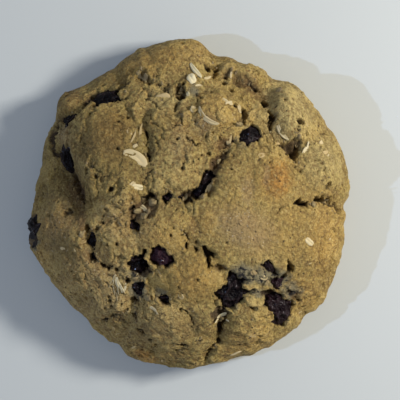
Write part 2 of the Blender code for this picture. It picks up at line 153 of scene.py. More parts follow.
# Patches of colour, by the mask that the finish reads.
PATCHES = {
    "golden": table(
        Patch,
        (21, 5.8, 4.4, 6.2, -8, 1.4), (16, 5.6, 2.4, 4.5, 0, 0.5), (4.2, -4.4, 2.8, 3.6, 0, 0.6),
        (12, -3, 7, 3.5, -30, 0.45), (19, -10.5, 7, 3, 20, 0.4), (-32.3, -5, 4, 3, 0, 0.5),
        (-36, -12.5, 3, 3.5, 0, 0.6), (5, 23.5, 3.5, 4, 0, 0.6), (24, -8, 10, 12, 0, 0.35),
        (-5.5, -8.5, 8, 6, 0, 0.6), (-5.5, -11.5, 4, 3, 0, 0.6), (0.5, -17.5, 8, 7, 0, 0.7),
        (-7, 34.5, 15, 4, 15, 0.65), (33, -8, 6, 14, 0, 0.7), (28, -21.5, 6, 6, 0, 0.6),
        (-18, 17.5, 6, 6, 0, 0.5), (6.5, 20.5, 5, 5, 0, 0.5), (-11.2, -37.6, 4, 1.8, -20, 1.3),
        (14, -33, 8, 4, 20, 0.5),
    ),
    "brown": table(
        Patch,
        (-18.5, 16.5, 6, 5, 60, 0.8), (-26, 12, 6, 9, 0, 0.5), (-31, 26.5, 5, 5, 0, 0.6),
        (-28.2, 4.5, 2.6, 6.5, 8, 1.5), (-26.2, -4.5, 1.6, 3.4, 8, 1.2),
        (16.8, 27.6, 5.4, 1.5, -40, 1.2), (8.6, 14.6, 3.6, 1.6, 25, 1.5),
        (6.8, 10, 3.4, 1.5, 55, 1.3), (26, -21.8, 2.4, 2.2, 0, 1.2), (-10.5, -1, 4.5, 3, 20, 1),
        (1.2, -5.2, 1.6, 3, 0, 0.7), (-23.5, -13, 3, 1.4, -40, 0.9), (-2, 20, 4, 6, 0, 0.3),
    ),
    # Pale, floury dough; the strongest patches, on the upper right lumps at (24, 22) and (33,
    # 10.5), are painted light.
    "pale": table(
        Patch,
        (-31, 18, 4, 5.5, 80, 0.9), (17.5, -15.5, 8, 5, 0, 0.8), (-28.5, 9, 4, 4, 0, 0.6),
        (-12, -11.5, 6, 4, 0, 0.6), (-16.5, -19, 4, 6, 0, 0.8), (-4, 8, 9, 10, 0, 0.5),
        (-8, -26, 12, 6, 0, 0.5), (24, 22, 8, 9, 0, 1.25), (33, 10.5, 6, 8, 0, 1.1),
        (-5, 25.5, 7, 4.5, 0, 0.9), (15.5, -21.5, 4, 3, 30, 0.6), (1.5, 36, 4.5, 3, 0, 0.5),
        (-5.5, -9, 8, 6, 0, 0.5),
    ),
    # Dull, slightly pink patches with fine grains of sugar.
    "blush": table(
        Patch,
        (13.5, -6, 8.5, 5.5, -25, 0.65), (14, 3, 2, 4, 0, 0.5), (18.4, 6.4, 0.9, 3.4, 0, 0.6),
        (-30.5, 16.5, 3, 4, 0, 0.5), (-2, 14, 3, 6, 0, 0.35), (3.5, 18.5, 3, 3, 0, 0.5),
        (-23, -19, 16, 11, -50, 0.4), (-32, -7, 7, 11, 0, 0.45), (-16, -4, 9, 7, 0, 0.35),
        (-9, -30, 14, 8, 0, 0.3),
    ),
    # Patches darkened as a whole: mostly painted shade on the left and lower parts, which face
    # away from the main light; the rest baked darker.
    "toasted": table(
        Patch,
        (-18.5, 13.5, 13, 12, 0, 1), (-33, 3, 10, 17, 0, 1), (-33, 22, 8, 9, 0, 0.8),
        (-15, 33.5, 15, 6, 20, 0.6), (-3, -31, 18, 9, 0, 0.6), (27, -15, 10, 13, 0, 0.45),
        (19.7, 6.2, 8, 7, 0, 0.4), (0.5, -17.5, 9, 7, 0, 0.45), (33, 5, 5, 10, 0, 0.3),
        (-5, -8, 9, 6, 0, 0.25), (-30, -10.5, 6.5, 9.5, 25, 0.95),
    ),
    # Dough next to raisins that their juice stained grey.
    "smear": table(
        Patch,
        (13.2, -16.8, 4.6, 3.4, -20, 0.8), (17.6, -17.2, 5.2, 3.4, 0, 0.72),
        (22, -18.2, 4, 3.2, 0, 0.75), (25, -21.4, 3.4, 3.2, 0, 0.7),
        (17, -21.6, 2.6, 1.6, -20, 0.7), (-12, -17, 3.5, 2.2, 0, 0.78),
        (-12.5, -21, 2.8, 3.6, 0, 0.75), (-6.8, -21.3, 2.2, 2, 0, 0.6),
        (-28.8, 12, 1.2, 2.6, 0, 0.6), (14, 15.5, 4.2, 3.4, 20, 0.4),
        (1.2, 27.5, 2.4, 2.4, 0, 0.6), (7, -27, 3, 2.4, 20, 0.6), (-6.5, -12.6, 4, 3, 0, 0.5),
        (-38.8, -8.6, 2, 3.2, 0, 1.5),
    ),
}

# Valleys between the lumps: full width, depth, and the points that the route bends at.
Valley = namedtuple("Valley", "width depth route")
VALLEYS = table(
    Valley,
    (3.2, 1.3, ((12, 14.5), (9, 12.5), (6.5, 8.5), (4, 4), (1, 2), (-5.5, 1), (-9, 0.5),
     (-11.5, -1), (-13.5, -3.5), (-13.5, -6))),
    (2.6, 1.3, ((-24.5, 25.5), (-27.5, 23.5), (-30, 21), (-32, 18), (-31.5, 14), (-30, 10.5))),
    (5, 2.6, ((-31, 11), (-29.5, 8), (-28.5, 5), (-28, 2), (-27, -1), (-26.5, -4))),
    (2.4, 1.2, ((-26, -3.5), (-25, -6), (-24, -9), (-23, -12.5), (-21, -14.5), (-18.5, -15.5),
     (-16, -16))),
    (1.6, 0.7, ((-24.5, -5.5), (-21.5, -5), (-18.5, -4.5), (-16.5, -5), (-13.5, -5))),
    (2.2, 1, ((-20, 29.5), (-16.5, 30.5), (-12.5, 30.5), (-9.5, 30), (-6.5, 29), (-3.5, 30.5),
     (-0.5, 31.5))),
    (3, 1.8, ((4.5, 35.5), (5.5, 33), (8.5, 31), (12.5, 29.5), (17, 28), (19, 25.5), (19.8, 22),
     (20.3, 19.5), (21.2, 16.5), (24, 14), (26, 12.5), (26, 10))),
    (2.2, 1, ((24.5, 0), (27, 0), (30, 0.5), (31.5, 1), (34, 0.5), (36, 0.5), (37.5, -1),
     (39, -2.5))),
    (2.4, 1.3, ((-1, -7), (0, -10), (2, -11), (4, -12), (5.5, -14), (7, -15.5), (9, -17))),
    (2.4, 1.3, ((9.5, -26.5), (8, -30), (8, -32.5), (6.5, -35), (4.5, -37), (3, -39.5))),
    (1.8, 0.9, ((-11.5, 22), (-10.5, 19.5), (-10, 15.5), (-9.5, 12), (-9.5, 9.5))),
    (2.2, 0.9, ((-2, 27), (-3, 24), (-2.5, 20.5), (-0.5, 18), (2, 15.5), (4.5, 14))),
    (1.6, 0.7, ((-21.5, -29), (-19, -27.5), (-16, -27), (-13.5, -28))),
    (2.4, 0.9, ((-12, -17.5), (-13.5, -20.5), (-13.5, -24.5), (-14, -27.5), (-12, -31))),
    (2.4, 0.9, ((-12, -17.5), (-8, -20), (-5.5, -23), (-1, -25.5), (1, -30), (1.5, -33))),
    (2, 0.9, ((24, -13.5), (24.5, -16.5), (23.5, -18.5), (21.5, -20.5))),
)

# Thin splits in the crust: width, depth and route. The crust bridges them here and there.
Split = namedtuple("Split", "width depth route")
SPLITS = table(
    Split,
    (0.5, 1.1, ((-20.6, 27.2), (-18.5, 28.2), (-16.2, 28.9), (-14.6, 29.4))),
    (0.5, 1.1, ((-4, 30.6), (-5.5, 29.7), (-6.4, 29), (-8.2, 29.2))),
    (0.5, 0.9, ((-6.4, 29), (-5.6, 28), (-5, 27.2))),
    (0.5, 1, ((-10.5, 20.2), (-10.1, 17), (-9.8, 14), (-9.8, 12), (-9.5, 10.5), (-9.3, 9.4))),
    (0.4, 0.8, ((-7.2, 9.4), (-8.4, 8.2), (-9.7, 7.2))),
    (0.45, 0.9, ((-1.7, 17.4), (-0.7, 15.7), (0.6, 14.8), (1.6, 13.7), (2.6, 14.6))),
    (0.4, 0.8, ((1.2, 19.9), (2.5, 18.7))),
    (0.45, 0.9, ((30.9, 18.4), (31.5, 17.2), (31.2, 15.4))),
    (0.4, 0.8, ((31.8, 17.3), (33.8, 17.5), (35.2, 16.6))),
    (0.45, 0.8, ((30.6, 8), (32, 7.6), (32.9, 6.8))),
    (0.4, 0.7, ((20.8, -2.1), (22.2, -0.7), (23.4, -0.5), (25, -0.9))),
    (0.5, 1, ((29.2, 0.2), (30.4, 0.4))),
    (0.6, 1.4, ((26.1, 18.6), (25.8, 17.6), (25.8, 16.2))),
    (0.7, 1.5, ((-21.2, -29), (-19.4, -28), (-18.9, -27), (-17, -27.1), (-15.8, -26.9))),
    (0.6, 1.3, ((-15.2, -25.3), (-15.6, -26.8))),
    (0.6, 1.1, ((-12.4, -30.6), (-11, -31.6), (-9.2, -33))),
    (0.6, 1.3, ((-4, -33.8), (-2.4, -34.2), (-0.6, -34.4))),
    (0.45, 0.8, ((-2.4, -25.4), (-0.4, -25.7), (0.5, -26.8), (0.8, -28.4), (1.2, -30.2))),
    (0.6, 1.6, ((-22.5, -13.2), (-21, -14.6), (-19.3, -15.7), (-18, -15.4), (-16.2, -16.1),
     (-15, -15.8))),
    (0.45, 0.9, ((-1.2, -6.4), (-0.4, -7.6), (0.1, -8.8))),
    (0.9, 2.2, ((-0.5, -9.6), (-0.6, -10.6))),
    (0.9, 2.4, ((9.6, -27.2), (8.7, -28.8), (7.8, -30.2), (7.6, -31.8), (8, -33.2), (7.2, -34.8),
     (5.8, -35.4))),
    (0.7, 1.6, ((6.5, -36.1), (4.9, -37.1), (4.1, -38.6))),
    (0.9, 1.8, ((15.2, 29.8), (16.6, 28.4), (18.2, 27))),
    (0.5, 1.2, ((5.2, 34.2), (6.6, 33.2), (8.4, 32.2))),
    (0.8, 2, ((-8, 2), (-9.4, 2.3), (-11.2, 0.9), (-12.8, -0.4), (-14.1, -1.4))),
)
END_TAPER = 3.0  # mm over which a valley or split closes towards its ends
BRIDGE_LENGTH = 1.7  # how far apart the crust bridges a split
CREVICE_DEPTH = 0.65  # fine creases between the crumbs of the rough dough
CREVICE_WIDTH = 0.15  # their width, as the noise value where they end

# Openings torn in the crust: depth, how dark their dough is, partly juice stain and partly painted
# shade, and the corners of their edge.
Opening = namedtuple("Opening", "depth stain corners")
OPENINGS = table(
    Opening,
    # The long crack, from the upper right to the left.
    (0.6, 0.6, ((7, 16.3), (8.5, 15.4), (11.6, 15.8), (9.4, 14.1), (8, 13.1), (7.2, 13.2))),
    (1.1, 0.8, ((5, 10.4), (6.6, 11.6), (8.4, 13), (10, 13.2), (9.4, 11.2), (7.4, 8.6), (6.4, 7),
     (4.9, 8))),
    (1.2, 0.6, ((4.1, 4.8), (5.8, 5), (6.3, 3.6), (5.4, 1.4), (4.6, 1.8), (3.8, 3))),
    (1.9, 0.5, ((0.3, 3.2), (-1.6, 3), (-2.8, 1.8), (-1.6, 0.2), (-0.6, -0.3), (0.4, 0.6))),
    (0.7, 0.75, ((-7.8, 2.2), (-9.4, 2.9), (-10.4, 1.6), (-12.2, 0.2), (-14.4, -1.2),
     (-14.5, -4.4), (-12.9, -4.8), (-12.2, -3.5), (-10.4, -3.5), (-8.2, -3), (-7.4, -1.2))),
    # The crack at the right edge.
    (2.8, 1, ((25, 0), (25.9, 1.2), (26.7, 0.5), (29.2, 0.6), (29, -0.7), (27, -0.6))),
    (3.4, 1, ((30.4, 0.8), (31.2, 1.7), (31.9, 1), (32.3, 2.5), (32.9, 1.4), (32.8, 0.2),
     (31.4, 0.2))),
    (3.4, 1.2, ((33.5, 0.9), (34.6, 1.7), (35.8, 1), (35.7, 0), (34.4, -0.5))),
    (2.4, 1, ((36, 0.4), (36.8, 0.1), (37.9, -2.2), (36.8, -2.4))),
    (2.4, 1, ((32.4, 4.1), (33, 4.6), (33.9, 5.5), (34.1, 4.5), (33.2, 3.9))),
    # The hollows down the valley at the upper right.
    (1.5, 0.9, ((21.6, 14.7), (23.6, 14.6), (25.1, 15.8), (26.7, 15.4), (27.3, 14), (26.7, 12.4),
     (26, 9.9), (25.2, 10.6), (24.7, 12.1), (23.2, 13))),
    (2.4, 1, ((25.1, 19.7), (26.2, 20.1), (27.4, 19.2), (26.2, 18.4))),
    (2, 0.7, ((17.5, 25), (18.6, 25.6), (19.7, 24), (18.2, 23.4))),
    (2.6, 1, ((19.3, 22.7), (20.2, 22.4), (21, 21.3), (20.4, 19.4), (20, 17.4), (19.4, 18.8),
     (19.2, 20.8))),
    (1.8, 0.5, ((3.5, 34.7), (4.9, 34.5), (5.1, 33.4), (4.1, 33.5))),
    (1.6, 0.4, ((7.8, 30.2), (9, 30.5), (9.5, 29.6), (8.4, 29.3))),
    (0.9, 0.6, ((7.9, 32.4), (9.4, 33), (10.2, 31.6), (9.2, 30.6), (8.2, 31))),
    (0.8, 0.7, ((10.6, 31.2), (12, 32), (14.4, 30.6), (15.6, 29), (12.6, 28.8), (10.8, 29.6))),
    (1.2, 0.7, ((12.6, 23), (13.6, 23), (14.3, 21.4), (13.4, 19.4), (11, 19.7), (12.6, 20.8))),
    # The top plate and the upper left.
    (1.6, 0.6, ((-3.5, 28.4), (-2.2, 29.8), (-0.8, 28.4), (-0.4, 26.5), (-1.2, 25), (-2.4, 24.9),
     (-3.3, 26.2))),
    (0.8, 0.45, ((-13.4, 31), (-12.2, 30.9), (-10.8, 32.5), (-9, 29.9), (-9.8, 28.5),
     (-11.4, 29.9))),
    (0.9, 0.5, ((-3.6, 23.2), (-3, 24.6), (-1.8, 24.6), (-2.6, 23.2), (-3.8, 22))),
    (1.1, 0.4, ((-2, 20.9), (-1.5, 20.9), (-1.4, 19.2), (-1.9, 18.7), (-2.1, 19.6))),
    # The left side.
    (1.2, 1, ((-29.8, 9), (-28.4, 7.4), (-27, 5), (-26.2, 2.4), (-26.4, -0.8), (-27.6, 0.8),
     (-28.4, 3), (-29.4, 5.4))),
    (0.9, 1.6, ((-32, 21.2), (-33.4, 19.6), (-34.4, 17.2), (-34.4, 14.4), (-33.6, 11.6),
     (-32.6, 11.4), (-33.5, 14.4), (-33.5, 16.8), (-32.5, 19.4))),
    (1, 1.4, ((-24.4, 26.8), (-25.6, 26), (-26.2, 24.2), (-27.6, 22.4), (-27, 21.6), (-25.4, 23.2),
     (-24.8, 25.2), (-23.6, 26.2))),
    (1.8, 0.4, ((-25.5, -5.2), (-24.5, -5), (-24.5, -7), (-25.3, -6.7))),
    (1.5, 0.7, ((-24.3, -12.2), (-23.4, -11.4), (-22.6, -13), (-21.7, -13.6), (-22.8, -14.3),
     (-24.1, -14))),
    (1.3, 0.5, ((-30.9, -2.4), (-30, -1.2), (-29.2, -2), (-29.2, -2.9), (-30.6, -3))),
    (1, 0.5, ((-22.8, -5.4), (-21.4, -5.4), (-22, -6.8), (-22.6, -6.6))),
    (1.3, 0.4, ((-18, -4.7), (-17, -4.3), (-16.2, -5.4), (-17.4, -5.6))),
    (0.9, 0.4, ((-20.3, -1.5), (-19.6, -1.1), (-19, -1.7), (-19.8, -1.9))),
    (1.1, 0.3, ((-24.6, 7.3), (-24, 8.5), (-23.6, 8.2), (-24.3, 7))),
    (1, 0.3, ((-23.2, 8.5), (-22.4, 9.1), (-22, 8.5), (-22.6, 8.3))),
    # Round the lower left raisins.
    (1.6, 0.9, ((-15.9, -18.6), (-15, -17.5), (-14.4, -18.2), (-14.8, -19), (-15.6, -19.1))),
    (1.8, 0.9, ((-14.1, -23.5), (-13.2, -22.9), (-12.1, -23.6), (-12.4, -24.5), (-13.8, -24.3))),
    (1, 0.9, ((-14.2, -16.4), (-12, -16.8), (-9.4, -15.6), (-8.6, -17), (-10.2, -17.8),
     (-12.6, -17.6))),
    (1.3, 0.9, ((-14, -27.8), (-13.2, -26.4), (-12.3, -26.8), (-12.4, -28), (-13.3, -28.2))),
    (0.7, 0.6, ((-8.5, -22.6), (-8, -21.8), (-6.4, -22.6), (-7, -23.3))),
    # Round the lower right raisins.
    (1.3, 0.9, ((4.7, -27), (6.6, -25.4), (8.4, -25), (10.2, -26.2), (9.4, -27.6), (7.4, -28.4),
     (6.4, -29.5), (5.6, -28.2))),
    (1.3, 0.6, ((14.9, -24.7), (16.5, -24.9), (15.7, -26.2))),
    (2.2, 0.7, ((23.5, -12.9), (24.4, -14.1), (25.2, -15), (24.9, -16.6), (23.6, -18.2),
     (22.6, -19), (23.2, -17.2), (24.2, -15.8))),
    (0.8, 0.8, ((23.9, -20.2), (25.2, -21.4), (27.4, -21.4), (27.2, -23.2), (25.4, -24),
     (24.5, -22.4))),
    (2.3, 0.4, ((3.3, -10.4), (4.4, -10.2), (5.2, -11.4), (6.9, -11.8), (6.4, -12.9), (5.2, -12.7),
     (5.5, -14.8), (4.6, -15.4), (4.3, -13.2))),
    (0.9, 0.9, ((5.4, -14.9), (7.4, -14.5), (9.4, -15.5), (8.6, -16.4), (6.6, -16.1))),
    (1.6, 0.4, ((1.3, -10.3), (2.1, -10.3), (2.8, -11.3), (1.8, -11.4))),
    (0.7, 0.4, ((1.6, -33), (2.2, -32.2), (3, -32.8), (2, -33.4))),
)

# The tears that show the raisins: the corners of their edges.
WINDOWS = {
    "raisin_01": ((-24.6, 26.6), (-22.5, 27.9), (-20, 28.2), (-16.4, 28.6), (-18, 27),
     (-16.2, 25.6), (-19.8, 24.6), (-22.9, 23.2), (-23.2, 25.4)),
    "raisin_02": ((-32.4, 20.4), (-31.2, 22), (-28.5, 21.8), (-27.4, 22.2), (-27.9, 20.9),
     (-29.4, 20.2), (-31, 20.4)),
    "raisin_03": ((-29.4, 14.6), (-28.6, 12.6), (-28.8, 9.9), (-30, 10.2), (-30.4, 11.4),
     (-31.7, 10.6), (-33.2, 12.8), (-31.5, 12.4), (-30.2, 13.2)),
    "raisin_04": ((-41, -2.6), (-37.6, -2.4), (-37.2, -4.4), (-37.9, -8.4), (-38, -11),
     (-41, -11)),
    "raisin_05": ((12.5, 17), (13.4, 18), (15.2, 19), (17.1, 18.3), (17.4, 16.4), (16.2, 15.2),
     (15.2, 15.2), (14.4, 14), (13.6, 15.2), (12.4, 15.4)),
    "raisin_06": ((3.8, 8.1), (5.1, 8.1), (6.6, 6.7), (5.3, 5), (4.2, 4.6), (3.9, 3), (2.7, 2.2),
     (2.3, 1.2), (1, 1.5), (0.4, 0.5), (0.2, 2.1), (1, 3.7), (2.5, 3.9), (3.2, 6.2)),
    "raisin_07": ((-6, 2.2), (-4.8, 2.9), (-3.7, 2.2), (-3.6, 1.4), (-4.8, 1), (-5.6, 0.2),
     (-6.4, 1)),
    "raisin_08": ((-15.1, -14.7), (-13.2, -12.5), (-12, -12.8), (-10.5, -11.2), (-10.7, -13.5),
     (-9.6, -15.4), (-10.4, -16.8), (-12.4, -17.1), (-14, -16.6), (-14.3, -15.3)),
    "raisin_09": ((-9.5, -12.8), (-8.7, -11.2), (-7.2, -10), (-5.7, -10.9), (-5.3, -12.4),
     (-3.8, -12.7), (-3.4, -13.9), (-4.9, -15.1), (-6.6, -14.5), (-7.6, -15.1), (-9, -14.3)),
    "raisin_10": ((-14.1, -20), (-12.2, -18.8), (-11, -19.5), (-11.3, -20.9), (-12.2, -22.5),
     (-13.3, -21.4)),
    "raisin_11": ((-7.3, -22.8), (-5.7, -21.8), (-4.8, -22.6), (-4.3, -24.1), (-5.4, -24.2),
     (-6.6, -23.6)),
    "raisin_12": ((6.4, -21.4), (9.2, -19.6), (9.7, -17.8), (9.9, -16.3), (11.6, -17),
     (12.2, -18.2), (14.4, -18.2), (12.9, -19.4), (12.6, -20.4), (14.2, -20.9), (16, -20.4),
     (15.3, -21.8), (13.3, -22.2), (13.4, -23.3), (11.6, -24.4), (10.6, -25.5), (8.2, -25.2),
     (7.9, -23.6), (6.7, -22.8)),
    "raisin_13": ((17.5, -21.3), (19.9, -20.8), (21.2, -22.2), (22.9, -22.6), (23.8, -23.8),
     (26.1, -24), (25.3, -26.4), (24.4, -28.6), (22.4, -30.1), (20.6, -29.4), (19.6, -28.6),
     (21, -28), (20.9, -26.8), (19.4, -25.9), (19.2, -24.9), (18.2, -24.6), (18.4, -23)),
    "raisin_14": ((20.5, -18.3), (22.5, -17.7), (23, -18.8), (21.9, -20.5), (20.6, -21)),
    "raisin_15": ((17.1, -14.9), (19.2, -13.4), (20, -14.6), (21.6, -17.4), (20.2, -17.1),
     (19, -15.8)),
    "raisin_16": ((-24.2, -6.9), (-23.1, -7.2), (-22.9, -8.4), (-22.3, -9.2), (-23.4, -10.3),
     (-24.8, -9.3)),
    "raisin_17": ((-14.4, -5.2), (-13, -4.4), (-11.9, -5.3), (-12.2, -6.5), (-13.6, -6.3)),
}

RAISIN_SWELL = 1.12  # how far a raisin presses into the dough round it
RIM_RAISIN_SWELL = 0.95  # the same for the raisin that sits at the rim
WALL_WIDTH = 0.3  # how far inside its edge an opening reaches its full depth
LIP_WIDTH = 0.7  # how far the raised edge round an opening reaches
LIP_HEIGHT = 0.22

# Small holes: place, radius and depth.
Pore = namedtuple("Pore", "x y radius depth")
PORES = table(
    Pore,
    (-23.7, 7.1, 0.4, 1), (-21.9, 6.4, 0.4, 0.9), (-20.4, -2.9, 0.4, 1), (-20.8, -4.7, 0.4, 1),
    (-9.9, 11.8, 0.6, 1.2), (-16.8, 13, 0.5, 1), (-14.9, 20.9, 0.5, 1.1), (-16.8, 21.1, 0.5, 0.9),
    (-28.8, 16.8, 0.4, 0.8), (-34, -2.8, 0.6, 0.8), (-1.5, 8.5, 0.5, 1), (-1.3, 9.6, 0.4, 0.7),
    (4.3, 16.2, 0.5, 0.9), (5.8, 16.9, 0.4, 0.9), (4.8, 12.2, 0.6, 0.9), (3, 11.6, 0.4, 0.8),
    (13.1, 22.7, 0.7, 1.6), (18.4, 17, 0.5, 1), (19.4, 9.8, 0.5, 1), (20.4, 13.5, 0.4, 0.8),
    (31.2, 10.2, 0.5, 1), (25.8, 8.9, 0.4, 0.9), (26.9, 7.8, 0.5, 0.8), (36, 2.1, 0.5, 0.8),
    (1.9, -9.2, 0.4, 0.8), (-3.6, -5.8, 0.35, 0.8), (-8, -34.3, 0.5, 1), (-3, -36, 0.5, 1),
    (-15.6, -29, 0.5, 1), (-19.8, -25, 0.5, 1), (-22.6, -27.2, 0.4, 0.8), (-11.5, -36.4, 0.5, 0.8),
    (-9.8, -37.6, 0.7, 0.9), (12.3, -34.6, 0.4, 0.8), (-33, -13.2, 0.6, 0.7),
)


# Oat flakes that stand out of the crust: place, half length, half width, turn, radius of a
# sideways bend, rise across and along, lift over the crust, and how white they are.
Flake = namedtuple("Flake", "x y length width yaw bend tilt pitch lift white")
FLAKES = table(
    Flake,
    (0.7, 30.4, 1.35, 1.05, -62, 0, 0.2, -0.2, 0.3, 0.95),
    (1.6, 32.3, 2.7, 0.55, -54, 12, 0.25, 0.1, 0.35, 0.9),
    (4.7, 30.6, 1.2, 0.3, 35, 3, 0.1, 0.2, 0.3, 0.5),
    (2.4, 28.9, 1, 0.25, 10, -2, 0.1, 0.1, 0.2, 0.6),
    (-0.2, 26.6, 0.7, 0.45, 90, 0, 0.1, 0.1, 0.15, 0.7),
    (-6.5, 25.4, 2.2, 1.4, 12, 0, 0.7, 0.2, -0.4, 0.15),
    (1.1, 22.6, 0.9, 0.8, 70, 0, 0.2, 0, -0.05, 0.3),
    (4, 19.9, 3.9, 0.6, -43, 5, 0.3, 0.05, 0.05, 0.4),
    (9.4, 23.3, 1, 0.7, 20, 0, 0.2, 0.1, -0.08, 0.5),
    (8.4, 24, 0.9, 0.5, -30, 0, 0.2, 0.1, -0.08, 0.5),
    (12.1, 22.7, 1.2, 0.5, 100, 0, 0.1, 0.1, 0, 0.35),
    (-12.6, 11.2, 3.3, 1.6, -30, -6, 0.3, 0, -0.05, 0.4),
    (-11.5, 16.4, 3, 0.26, 98, -7, 0.2, 0, 0, 0.15),
    (-13, 16.2, 2.4, 0.2, 72, 14, 0.1, -0.1, 0, 0.25),
    (-12.7, 13.8, 0.7, 0.45, 30, 0, 0, 0, 0, 0.45),
    (-12.2, 3.9, 1.3, 0.85, -15, 0, 0.2, 0, 0.05, 0.75),
    (-13.4, 4.6, 0.9, 0.5, 40, 0, 0.1, 0, 0.05, 0.45),
    (21.9, 17.6, 3.6, 0.4, -62, 5, 0.3, 0, 0.05, 0.5),
    (28.6, 13.8, 1.3, 0.3, 78, 0, 0.2, 0.2, 0.15, 0.9),
    (27.9, 12.8, 1, 0.4, 62, 0, 0.3, 0.2, 0.15, 0.85),
    (31.8, 14.6, 0.9, 0.6, 40, 0, 0.2, 0.1, 0, 0.4),
    (32.6, 12.2, 1.5, 0.5, 15, 3, 0.2, 0.1, -0.05, 0.15),
    (33.4, 11.5, 0.5, 0.25, 60, 0, 0.1, 0.1, 0.05, 0.7),
    (28.9, -9.1, 1.4, 0.75, -38, 0, 0.1, 0.1, 0.1, 0.6),
    (8.2, -27.7, 1.5, 0.6, 28, 4, 0.3, 0.2, 0.35, 0.9),
    (6.8, -28.9, 0.8, 0.4, 55, 0, 0.3, 0.2, 0.25, 0.8),
    (9.5, -28.6, 0.35, 0.25, 0, 0, 0, 0, 0.1, 0.8),
    (-17.9, -17.8, 1.3, 0.2, -100, 4, 0.1, 0.1, 0.1, 0.7),
    (-17.3, -17.7, 1.1, 0.3, -60, 0, 0.1, 0.1, 0.1, 0.9),
    (-17.2, -18.9, 1.4, 0.34, -76, 5, 0.1, 0.1, 0.2, 1),
    (-16.7, -19.2, 1.5, 0.36, -62, 5, 0.1, 0.1, 0.2, 1),
    (-16.2, -20.2, 1.5, 0.42, -62, 5, 0.2, 0.1, 0.2, 1),
    (-16.3, -20.4, 1.2, 0.2, -66, -4, 0.1, 0.1, 0.2, 0.95),
    (-15.3, -20.2, 1.2, 0.3, -100, -4, 0.1, 0.1, 0.15, 0.9),
    (-17, -20.4, 1.5, 0.15, -84, 0, 0.1, 0.1, 0.15, 0.9),
    (-18, -20.2, 1.8, 0.18, -82, 0, 0.1, 0.1, 0.05, 0.5),
    (-17.3, -22, 1.5, 0.18, -76, 0, 0.1, 0.1, 0.05, 0.4),
    (-18.7, -19.2, 1, 0.2, -110, 0, 0.1, 0.1, 0.05, 0.4),
    (-8.4, -25, 1, 0.45, -30, 0, 0.2, 0.1, 0.15, 0.6),
    (-7.6, -25.6, 0.7, 0.3, -50, 0, 0.2, 0.1, 0.1, 0.5),
    (-11.2, -1, 1, 0.6, -40, 0, 0.3, 0.2, 0.1, 0.35),
    (4.9, 3.6, 1.3, 0.6, 60, 0, 0.4, 0, 0.1, 0.15),
    (10.3, 31.4, 0.85, 0.3, 86, 0, 0.1, 0.2, 0.3, 0.45),
    (11.6, -37, 1.6, 0.8, 30, 0, 0.3, 0, 0, 0.4),
)

# Lumps of dough that stayed in the cracks: place, half length, half width and turn.
Lump = namedtuple("Lump", "x y length width yaw")
LOOSE_LUMPS = table(
    Lump,
    (-8.7, 0.4, 1.3, 0.9, 20), (-9.9, -1.9, 0.7, 0.5, 70), (-12.6, -1.8, 0.9, 0.7, 0),
    (-11, 0.7, 0.9, 0.6, 50), (-0.9, 1.6, 1, 0.5, 75), (3.4, 1.8, 0.6, 0.5, 0),
    (7.4, 10.4, 0.9, 0.5, 40), (18.8, -19, 0.8, 0.6, 30), (15.4, -16.4, 0.9, 0.6, -20),
    (20.4, -18, 0.6, 0.5, 0), (30, -0.1, 0.7, 0.5, 80), (33.1, 0.4, 0.5, 0.6, 0),
    (-25.9, -7.4, 0.9, 0.6, 60), (-13, -18.2, 1, 0.5, 15), (-10, -22.6, 0.9, 0.7, 0),
    (12, 18.9, 0.8, 0.6, 0), (21.4, 26.9, 0.8, 0.5, 60), (26.2, 16, 0.6, 0.5, 0),
    (-10.8, 30.6, 1, 0.7, 40), (-12, 31.2, 0.6, 0.5, 0), (-2.1, 27.6, 0.8, 0.6, 70),
    (-10.9, -2.9, 0.9, 0.7, 10),
)

BED_ABOVE = 6.0  # height over the dome from which a small piece is let down
BED_PROBES = 5  # how many places along each side of a bed the crust's height is read at

# ---- Fineness and seeds -----------------------------------------------------------------------
CRUST_CUTS = 63  # cuts along each edge of the cube that becomes the crust, halved once before
RAISIN_LEVELS = 4  # how often a raisin of the frame is subdivided
PLATE_SEED, PORE_SEED, OAT_SEED, CRUMB_SEED = 11, 5, 23, 31
FOLD_NOISE, CRINKLE_NOISE = 30, 60  # first of the noise seeds of the raisins' folds
RIM_NOISE, WAVE_NOISE = 100, 200  # first of the noise seeds of the oat flakes

# ---- Stage: metres, watts and colours ---------------------------------------------------------
Light = namedtuple("Light", "name place width height watts colour")
LIGHTS = table(
    Light,
    ("window", (0.33, 0.075, 0.26), 0.1, 0.05, 2.05, (1.0, 0.965, 0.9)),
    ("lamp", (-0.72, -0.12, 0.66), 0.012, 0.012, 3.3, (0.45, 0.63, 1.0)),
)
ROOM_COLOUR = (1.0, 0.95, 0.84)
ROOM_STRENGTH = 0.28
FLOOR_SIZE = 3.0
FLOOR_TONE = 0.93  # how dark the duller clouds of the floor are
CAMERA_OVER = (2.75 * MM, 0.9 * MM)  # the place of the plan that the camera stands over
SENSOR_WIDTH = 36.0  # the camera's, in its own millimetres


# ---- Settings ---------------------------------------------------------------------------------
def colour(name, description, levels):
    return FloatVectorProperty(name=name, description=description, default=levels, subtype="COLOR")


def length(name, description, metres):
    return FloatProperty(name=name, description=description, default=metres, unit="LENGTH")


def number(name, description, count):
    return IntProperty(name=name, description=description, default=count, min=0)


